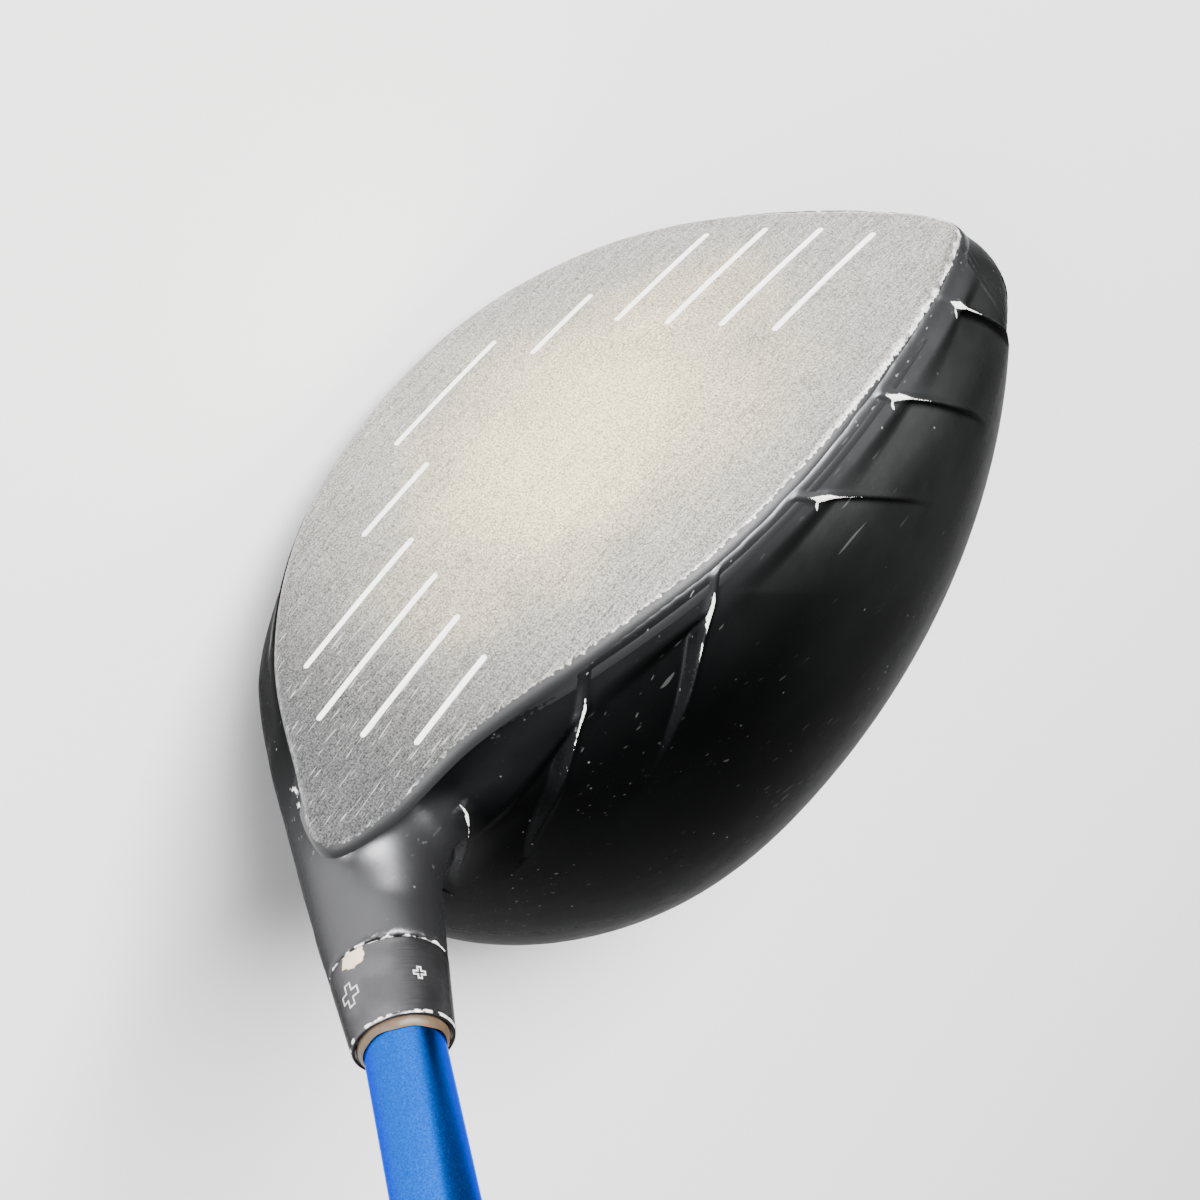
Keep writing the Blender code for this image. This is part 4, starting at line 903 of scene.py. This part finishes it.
# ---------------------------------------------------------------- materials
class Paint:
    """A Principled material that is wired one small step at a time, in millimetres of object space."""

    def __init__(self, name, colour, roughness, metallic=0.0, **sockets):
        self.material = bpy.data.materials.new(name)
        self.material.use_nodes = True
        self.tree = self.material.node_tree
        self.shader = self.tree.nodes["Principled BSDF"]
        self.set(self.shader, "Base Color", (*colour, 1.0))
        self.set(self.shader, "Roughness", roughness)
        self.set(self.shader, "Metallic", metallic)
        for socket, value in sockets.items():
            self.set(self.shader, socket.replace("_", " "), value)
        self.place = self.node("ShaderNodeTexCoord").outputs["Object"]

    def node(self, kind, **settings):
        made = self.tree.nodes.new(kind)
        for key, value in settings.items():
            setattr(made, key, value)
        return made

    def set(self, node, socket, value):
        """Give an input a number or colour, or link it if the value is another node's output."""
        if isinstance(value, bpy.types.NodeSocket):
            self.tree.links.new(value, node.inputs[socket])
        else:
            node.inputs[socket].default_value = value

    def stretched(self, scale, turn=(0.0, 0.0, 0.0)):
        mapping = self.node("ShaderNodeMapping")
        self.set(mapping, "Vector", self.place)
        self.set(mapping, "Scale", tuple(value / MM for value in scale))
        self.set(mapping, "Rotation", turn)
        return mapping.outputs["Vector"]

    def noise(self, scale, detail=2.0, turn=(0.0, 0.0, 0.0), roughness=0.5):
        """Noise whose grain is 1 / scale mm; scale is one number or one for each axis."""
        scale = scale if isinstance(scale, tuple) else (scale, scale, scale)
        made = self.node("ShaderNodeTexNoise")
        self.set(made, "Vector", self.stretched(scale, turn))
        self.set(made, "Scale", 1.0)
        self.set(made, "Detail", detail)
        self.set(made, "Roughness", roughness)
        return made.outputs["Fac"]

    def specks(self, scale, size):
        """Scattered round dots: 1 inside a dot."""
        made = self.node("ShaderNodeTexVoronoi")
        self.set(made, "Vector", self.stretched((scale, scale, scale)))
        self.set(made, "Scale", 1.0)
        return self.step(made.outputs["Distance"], size, size * 0.6)

    def step(self, value, low, high):
        """0 at low and 1 at high, eased between."""
        made = self.node("ShaderNodeMapRange", interpolation_type="SMOOTHSTEP")
        self.set(made, "Value", value)
        self.set(made, "From Min", low)
        self.set(made, "From Max", high)
        return made.outputs["Result"]

    def math(self, operation, first, second=0.0):
        made = self.node("ShaderNodeMath", operation=operation)
        self.set(made, 0, first)
        self.set(made, 1, second)
        return made.outputs[0]

    def mix(self, factor, first, second):
        made = self.node("ShaderNodeMix", data_type="RGBA")
        self.set(made, 0, factor)
        for socket, value in ((6, first), (7, second)):
            if isinstance(value, tuple):
                value = (*value, 1.0)
            self.set(made, socket, value)
        return made.outputs[2]

    def blend(self, factor, low, high):
        """A number between low and high."""
        return self.math("ADD", self.math("MULTIPLY", factor, high - low), low)

    def dim(self, colour, amount):
        """A colour times a number."""
        made = self.node("ShaderNodeVectorMath", operation="SCALE")
        self.set(made, 0, colour)
        self.set(made, "Scale", amount)
        return made.outputs["Vector"]

    def product(self, *values):
        total = values[0]
        for value in values[1:]:
            total = self.math("MULTIPLY", total, value)
        return total

    def ramp(self, axis, low, high):
        """0 at one place of the head frame and 1 at another, along a world axis."""
        split = self.node("ShaderNodeSeparateXYZ")
        self.set(split, "Vector", self.place)
        number = "XYZ".index(axis)
        start, end = (to_world((mark, mark, mark))[number] for mark in (low, high))
        return self.step(split.outputs[axis], start, end)

    def attribute(self, name):
        made = self.node("ShaderNodeAttribute", attribute_name=name)
        return made.outputs["Fac"]

    def colour(self, value):
        self.set(self.shader, "Base Color", value)

    def rough(self, value):
        self.set(self.shader, "Roughness", value)

    def metal(self, value):
        self.set(self.shader, "Metallic", value)

    def bump(self, height, distance, strength=1.0):
        made = self.node("ShaderNodeBump")
        self.set(made, "Height", height)
        self.set(made, "Distance", distance * MM)
        self.set(made, "Strength", strength)
        if self.shader.inputs["Normal"].is_linked:
            self.set(made, "Normal", self.shader.inputs["Normal"].links[0].from_socket)
        self.set(self.shader, "Normal", made.outputs["Normal"])

    def scratches(self, angles, fine, long, low, high):
        """Thin straight scratches in several directions of the XZ plane."""
        total = None
        for number, angle in enumerate(angles):
            line = self.noise((long, 1.0 + 0.13 * number, fine), 1.0, (0.0, angle, 0.0))
            line = self.step(line, low, high)
            total = line if total is None else self.math("MAXIMUM", total, line)
        return total


def black_paint():
    """Satin black paint with dust, hairline scratches, bare chips at the ridge tips with a painted highlight
    down each crest, and painted sheen: lighter towards the toe, on the band behind the top line and on the
    neck.
    """
    paint = Paint("satin_black_paint", (0.02, 0.02, 0.021), 0.36, 0.9)
    paint.set(paint.shader, "Specular Tint", (0.15, 0.15, 0.15, 1.0))
    cloud = paint.noise(0.05, 3.0)
    below = paint.attribute("below_ring")
    neck = paint.attribute("neck")
    toeward = paint.ramp("X", 16.0, -30.0)
    behind = paint.attribute("behind")
    # painted sheen: the paint is lighter towards the toe, where the crown catches more light
    base = paint.mix(toeward, (0.011, 0.0115, 0.012), (0.054, 0.056, 0.055))
    base = paint.dim(base, paint.blend(paint.step(cloud, 0.35, 0.7), 0.75, 1.15))
    # painted sheen: a lighter band along the top line, strongest towards the toe
    lip = paint.product(paint.step(behind, 6.5, 2.5), paint.blend(toeward, 0.22, 1.0))
    base = paint.mix(lip, base, (0.118, 0.120, 0.125))
    # painted sheen: the neck is lightened to satin grey for the highlight it catches
    base = paint.mix(neck, base, (0.088, 0.088, 0.092))
    dust = paint.product(paint.specks(0.42, 0.085), paint.step(paint.noise(0.09, 2.0), 0.5, 0.62))
    hair = paint.scratches((0.3, 1.2, 2.3), 2.2, 0.09, 0.74, 0.78)
    hair = paint.product(hair, paint.step(paint.noise(0.06, 2.0), 0.48, 0.6))
    edge = paint.step(behind, 2.2, 0.2)
    chipped = paint.math("ADD", paint.product(edge, 0.36), paint.noise(0.9, 4.0))
    chipped = paint.product(paint.step(chipped, 0.93, 0.97), paint.step(edge, 0.0, 0.05))
    nicks = paint.scratches((0.9, 1.9, 2.8), 2.6, 0.45, 0.73, 0.77)
    nicks = paint.product(nicks, paint.step(behind, 4.5, 1.5))
    # tip: chipped paint at the ridge tips, and a painted highlight streak down each crest
    tip = paint.math("ADD", paint.attribute("tip"), paint.product(paint.noise(1.3, 4.0), 0.5))
    tip = paint.step(tip, 0.74, 0.84)
    ring = paint.math("ADD", paint.step(below, 0.5, 0.0), paint.product(paint.noise(0.9, 4.0), 0.9))
    ring = paint.step(ring, 1.38, 1.46)
    # bare: chipped paint, plus the painted crest highlight carried by the tip marks
    bare = paint.math("MAXIMUM", paint.math("MAXIMUM", tip, chipped), ring)
    marks = paint.math("MAXIMUM", paint.product(dust, 0.5), paint.product(hair, 0.22))
    marks = paint.math("MAXIMUM", marks, paint.product(nicks, 0.6))
    colour = paint.mix(marks, base, (0.35, 0.35, 0.34))
    paint.colour(paint.mix(bare, colour, (0.90, 0.89, 0.86)))
    paint.metal(paint.math("SUBTRACT", 0.9, paint.product(paint.math("MAXIMUM", bare, marks), 0.8)))
    paint.rough(paint.math("ADD", paint.product(paint.noise(0.25, 4.0), 0.12), 0.33))
    paint.bump(paint.noise(1.6, 2.0), 0.02, 0.35)
    paint.bump(bare, 0.06, 0.5)
    return paint.material


def bare_titanium():
    """Blasted and brushed titanium with the paint's edge, and a painted pool of light: warm and bright in the
    middle, painted shade darker at the ends and darkest at the heel.
    """
    metal = Paint("worn_face_titanium", (0.5, 0.46, 0.4), 0.42, 1.0)
    spread = metal.node("ShaderNodeVectorMath", operation="LENGTH")
    centre = metal.node("ShaderNodeVectorMath", operation="MULTIPLY_ADD")
    middle = to_world((-3.0, 0.0, 2.5))
    squeeze = (1.0 / (54.0 * MM), 0.0, 1.0 / (33.0 * MM))
    metal.set(centre, 0, metal.place)
    metal.set(centre, 1, squeeze)
    metal.set(centre, 2, tuple(-value * factor for value, factor in zip(middle, squeeze)))
    metal.set(spread, 0, centre.outputs[0])
    wander = metal.product(metal.math("SUBTRACT", metal.noise(0.08, 3.0), 0.5), 0.5)
    away = metal.math("ADD", spread.outputs["Value"], wander)
    heelward = metal.ramp("X", 8.0, 48.0)
    # painted light: a warm bright middle fading to darker metal towards the ends
    base = metal.mix(metal.step(away, 0.02, 0.75), (0.88, 0.74, 0.45), (0.35, 0.337, 0.312))
    # painted shade: the heel end is darkened further
    base = metal.mix(metal.product(heelward, metal.step(away, 0.1, 0.9)), base, (0.115, 0.115, 0.116))
    grain = metal.noise(4.6, 2.0, roughness=0.7)
    base = metal.dim(base, metal.blend(metal.step(grain, 0.32, 0.68), 0.42, 1.6))
    brushed = metal.noise((0.10, 2.0, 7.0), 3.0)
    edgeward = metal.step(away, 0.3, 1.0)
    lines = metal.blend(metal.step(brushed, 0.36, 0.64), -0.5, 0.5)
    streaks = metal.product(lines, metal.blend(edgeward, 0.2, 0.42))
    base = metal.dim(base, metal.math("ADD", 1.0, streaks))
    hits = metal.scratches((0.5, 1.3, 2.0, 2.7), 3.0, 0.22, 0.70, 0.76)
    hits = metal.product(hits, metal.blend(heelward, 0.12, 0.5))
    base = metal.mix(hits, base, (0.80, 0.79, 0.75))
    rim = metal.attribute("rim")
    frayed = metal.product(metal.math("SUBTRACT", metal.noise(1.5, 4.0), 0.5), 1.8)
    ragged = metal.math("ADD", rim, frayed)
    toeward = metal.ramp("X", -8.0, -38.0)
    bright = metal.product(metal.step(ragged, 0.95, 0.3), metal.step(metal.noise(0.5, 4.0), 0.36, 0.56),
                           metal.blend(toeward, 0.12, 1.0))
    base = metal.mix(bright, base, (0.88, 0.87, 0.84))
    covered = metal.product(metal.ramp("Z", 6.0, 12.0), metal.blend(toeward, 0.95, 0.0))
    black = metal.step(metal.math("SUBTRACT", ragged, covered), 0.05, -0.15)
    metal.colour(metal.mix(black, base, (0.013, 0.013, 0.014)))
    metal.metal(metal.math("SUBTRACT", 1.0, metal.math("MAXIMUM", black, metal.product(bright, 0.6))))
    metal.rough(metal.math("ADD", metal.product(grain, 0.18), 0.36))
    metal.bump(grain, 0.03, 0.5)
    metal.bump(brushed, 0.02, 0.4)
    return metal.material


def score_white():
    paint = Paint("score_line_white", (0.93, 0.93, 0.91), 0.5)
    worn = paint.step(paint.noise(1.8, 4.0), 0.66, 0.74)
    paint.colour(paint.mix(worn, (0.93, 0.93, 0.91), (0.55, 0.54, 0.5)))
    paint.bump(paint.noise(4.0, 2.0), 0.02, 0.4)
    return paint.material


def anodised_black():
    """Satin anodised aluminium, turned, with pale chips at both rims and a bare patch at the foot."""
    metal = Paint("anodised_sleeve", (0.10, 0.10, 0.105), 0.34, 0.9)
    along = metal.node("ShaderNodeVectorMath", operation="DOT_PRODUCT")
    metal.set(along, 0, metal.place)
    metal.set(along, 1, tuple(HOSEL_DIRECTION / MM))
    height = metal.math("SUBTRACT", along.outputs["Value"], HOSEL_POINT.dot(HOSEL_DIRECTION) / MM)
    lines = metal.node("ShaderNodeTexNoise", noise_dimensions="1D")
    metal.set(lines, "W", metal.product(height, 9.0))
    mouth = HOSEL_TOP + COLLAR_LENGTH
    top = metal.step(height, mouth - 0.75, mouth - 0.35)
    inside = metal.step(height, mouth - 0.02, mouth - 0.12)
    foot = metal.step(height, HOSEL_TOP + 0.75, HOSEL_TOP + 0.35)
    rim = metal.math("MAXIMUM", metal.product(top, inside), foot)
    chips = metal.math("ADD", metal.product(rim, 0.75), metal.product(metal.noise(0.8, 4.0), 0.7))
    chips = metal.step(chips, 1.06, 1.12)
    patch_centre = ring_point(HOSEL_AXIS, COLLAR_RADIUS, PATCH_TURN, HOSEL_TOP + 0.7)
    gap = metal.node("ShaderNodeVectorMath", operation="DISTANCE")
    metal.set(gap, 0, metal.place)
    metal.set(gap, 1, tuple(patch_centre))
    patch = metal.math("ADD", metal.product(gap.outputs["Value"], 1.0 / MM),
                       metal.product(metal.noise(0.9, 4.0), 2.6))
    patch = metal.step(patch, 2.9, 2.7)
    cloud = metal.step(metal.noise(0.3, 3.0), 0.35, 0.7)
    base = metal.mix(cloud, (0.078, 0.077, 0.080), (0.108, 0.106, 0.110))
    metal.set(metal.shader, "Specular Tint", (0.25, 0.25, 0.25, 1.0))
    base = metal.mix(chips, base, (0.82, 0.80, 0.76))
    metal.colour(metal.mix(patch, base, (0.72, 0.58, 0.42)))
    metal.metal(metal.math("SUBTRACT", 0.9, metal.product(metal.math("MAXIMUM", chips, patch), 0.6)))
    metal.rough(metal.math("ADD", metal.product(lines.outputs["Fac"], 0.14), 0.20))
    metal.bump(lines.outputs["Fac"], 0.008, 0.5)
    return metal.material


def blue_lacquer():
    """Metallic blue lacquer with fine flake."""
    lacquer = Paint("blue_lacquer", (0.0, 0.05, 0.4), 0.24, 1.0)
    lacquer.set(lacquer.shader, "Specular Tint", (0.1, 0.35, 1.0, 1.0))
    flake = lacquer.noise(6.0, 2.0)
    base = lacquer.mix(lacquer.step(flake, 0.35, 0.75), (0.0, 0.055, 0.34), (0.0, 0.10, 0.54))
    lacquer.colour(base)
    lacquer.rough(lacquer.math("ADD", lacquer.math("MULTIPLY", flake, 0.1), 0.16))
    lacquer.bump(lacquer.noise((0.6, 0.6, 0.6), 1.0), 0.004, 0.3)
    return lacquer.material


def moulded_rubber():
    rubber = Paint("grip_rubber", (0.02, 0.02, 0.021), 0.78)
    worn = rubber.step(rubber.noise(0.05, 3.0), 0.45, 0.75)
    rubber.colour(rubber.mix(worn, (0.016, 0.016, 0.017), (0.032, 0.032, 0.032)))
    rubber.rough(rubber.math("SUBTRACT", 0.85, rubber.math("MULTIPLY", worn, 0.2)))
    rubber.bump(rubber.noise(3.5, 3.0), 0.05, 0.5)
    return rubber.material


def plain_metal(name, colour, roughness, grain=2.5):
    metal = Paint(name, colour, roughness, 1.0)
    cloud = metal.noise(grain, 3.0)
    darker = tuple(value * 0.75 for value in colour)
    metal.colour(metal.mix(metal.step(cloud, 0.35, 0.7), darker, colour))
    metal.rough(metal.math("ADD", metal.math("MULTIPLY", cloud, 0.16), roughness - 0.08))
    metal.bump(cloud, 0.01, 0.4)
    return metal.material


def plain_plastic(name, colour, roughness, depth=0.03):
    plastic = Paint(name, colour, roughness)
    cloud = plastic.noise(1.5, 3.0)
    darker = tuple(value * 0.82 for value in colour)
    plastic.colour(plastic.mix(plastic.step(cloud, 0.35, 0.7), darker, colour))
    plastic.bump(cloud, depth, 0.4)
    return plastic.material


def dress(piece, material):
    piece.data.materials.clear()
    piece.data.materials.append(material)


# ---------------------------------------------------------------- assembly
def show(piece, material, body, slot, *nodes):
    dress(piece, material)
    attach(piece, body)
    if nodes:
        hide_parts(*nodes)


def build_object():
    solid = head_solid()
    melt(solid)
    sculpt_crown(solid)
    crown, body = split_head(solid)
    paint = black_paint()
    show(crown, paint, "head", "crown_paint", "crown_shell")
    show(body, paint, "head", "body_paint", "body_shell")
    face, scores = build_face()
    show(face, bare_titanium(), "head", "bare_titanium", "face_plate")
    show(scores, score_white(), "head", "bare_titanium")

    assembly = "shaft_assembly"
    show(build_sleeve(), anodised_black(), assembly, "black_anodised", "adapter_sleeve")
    show(build_index_marks(), plain_plastic("mark_print", (0.55, 0.56, 0.54), 0.5), assembly,
         "black_anodised")
    show(build_shaft(), blue_lacquer(), assembly, "blue_lacquer", "shaft")
    show(build_epoxy(), plain_plastic("tan_epoxy", (0.10, 0.066, 0.038), 0.45), assembly, "tan_epoxy",
         "epoxy_bead")
    rubber = moulded_rubber()
    show(build_grip(), rubber, assembly, "black_rubber", "grip")
    show(build_cap(), rubber, assembly, "black_rubber", "grip_cap")

    steel = plain_metal("dark_steel", (0.17, 0.17, 0.18), 0.34)
    show(screw("adapter_screw_skin", -8.8, 3.5, 6.0, HOSEL_AXIS, 2.2), steel, "adapter_screw", "dark_steel",
         "adapter_screw")
    show(screw("weight_screw_skin", 0.5, 2.8, 13.25, weight_axis(), 1.9), steel, "rear_weight_screw",
         "dark_steel", "rear_weight_screw")
    show(build_weight(), plain_metal("tungsten", (0.34, 0.34, 0.35), 0.38), "rear_weight", "tungsten",
         "rear_weight")
    kept = {
        "screw_washer": steel,
        "spline_insert": plain_metal("machined_titanium", (0.46, 0.44, 0.41), 0.4),
        "weight_bush": plain_metal("bush_titanium", (0.46, 0.44, 0.41), 0.4),
        "tip_weight": plain_metal("brass", (0.60, 0.42, 0.16), 0.35),
        "screw_retainer": plain_plastic("white_nylon", (0.75, 0.75, 0.72), 0.5),
        "tip_plug": plain_plastic("plug_nylon", (0.75, 0.75, 0.72), 0.5),
        "weight_gasket": rubber,
        "hot_melt_pad": plain_plastic("amber_resin", (0.55, 0.38, 0.16), 0.4, 0.1),
        "grip_tape": plain_plastic("cream_tape", (0.72, 0.66, 0.52), 0.8, 0.1),
    }
    for node, material in kept.items():
        dress(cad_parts[node], material)


# ---------------------------------------------------------------- stage, light and camera
def build_stage():
    mesh_data = bmesh.new()
    bmesh.ops.create_grid(mesh_data, x_segments=1, y_segments=1, size=6.0)
    floor = make_object("floor", mesh_data, shaded=False)
    pale = Paint("pale_floor", (0.86, 0.86, 0.86), 0.8)
    pale.colour(pale.mix(pale.noise(0.002, 2.0), (0.85, 0.85, 0.85), (0.87, 0.87, 0.87)))
    dress(floor, pale.material)


def area_light(name, place, target, size, power, colour=(1.0, 1.0, 1.0)):
    light = bpy.data.lights.new(name, "AREA")
    light.shape = "RECTANGLE"
    light.size, light.size_y = size
    light.energy = power
    light.color = colour
    made = bpy.data.objects.new(name, light)
    bpy.context.scene.collection.objects.link(made)
    made.location = place
    made.rotation_euler = (Vector(target) - Vector(place)).to_track_quat("-Z", "Y").to_euler()
    return made


def build_light():
    """A bright floor under a dim dome: paler near the horizon, dark overhead."""
    world = bpy.data.worlds.new("studio")
    bpy.context.scene.world = world
    world.use_nodes = True
    tree = world.node_tree
    background = tree.nodes["Background"]
    direction = tree.nodes.new("ShaderNodeTexCoord")
    split = tree.nodes.new("ShaderNodeSeparateXYZ")
    rise = tree.nodes.new("ShaderNodeMapRange")
    rise.interpolation_type = "SMOOTHSTEP"
    tree.links.new(direction.outputs["Generated"], split.inputs["Vector"])
    tree.links.new(split.outputs["Z"], rise.inputs["Value"])
    for socket, value in (("From Min", 0.0), ("From Max", 0.32), ("To Min", 0.5), ("To Max", 0.07)):
        rise.inputs[socket].default_value = value
    background.inputs["Color"].default_value = (1.0, 1.0, 1.0, 1.0)
    tree.links.new(rise.outputs["Result"], background.inputs["Strength"])
    head = (0.0, -0.01, 0.03)
    area_light("key", (-0.6, -1.3, 1.5), head, (1.2, 1.2), 190.0)
    area_light("fill", (1.3, -1.0, 0.9), head, (0.8, 0.8), 30.0)


CAMERA_PLACE = (0.0606, -0.1531, 0.1641)
CAMERA_TARGET = (0.0013, -0.0132, 0.0340)
CAMERA_ROLL = radians(115.54)
CAMERA_LENS = 47.65
CAMERA_SHIFT = (0.0298, 0.0385)


def build_camera():
    camera = bpy.data.cameras.new("camera")
    camera.sensor_width = 36.0
    camera.lens = CAMERA_LENS
    camera.shift_x, camera.shift_y = CAMERA_SHIFT
    camera.clip_start = 0.002
    made = bpy.data.objects.new("camera", camera)
    bpy.context.scene.collection.objects.link(made)
    aim = (Vector(CAMERA_TARGET) - Vector(CAMERA_PLACE)).to_track_quat("-Z", "Y").to_matrix()
    turned_aim = (aim @ Matrix.Rotation(CAMERA_ROLL, 3, "Z")).to_4x4()
    made.matrix_world = Matrix.Translation(CAMERA_PLACE) @ turned_aim
    bpy.context.scene.camera = made


build_object()
build_stage()
build_light()
build_camera()
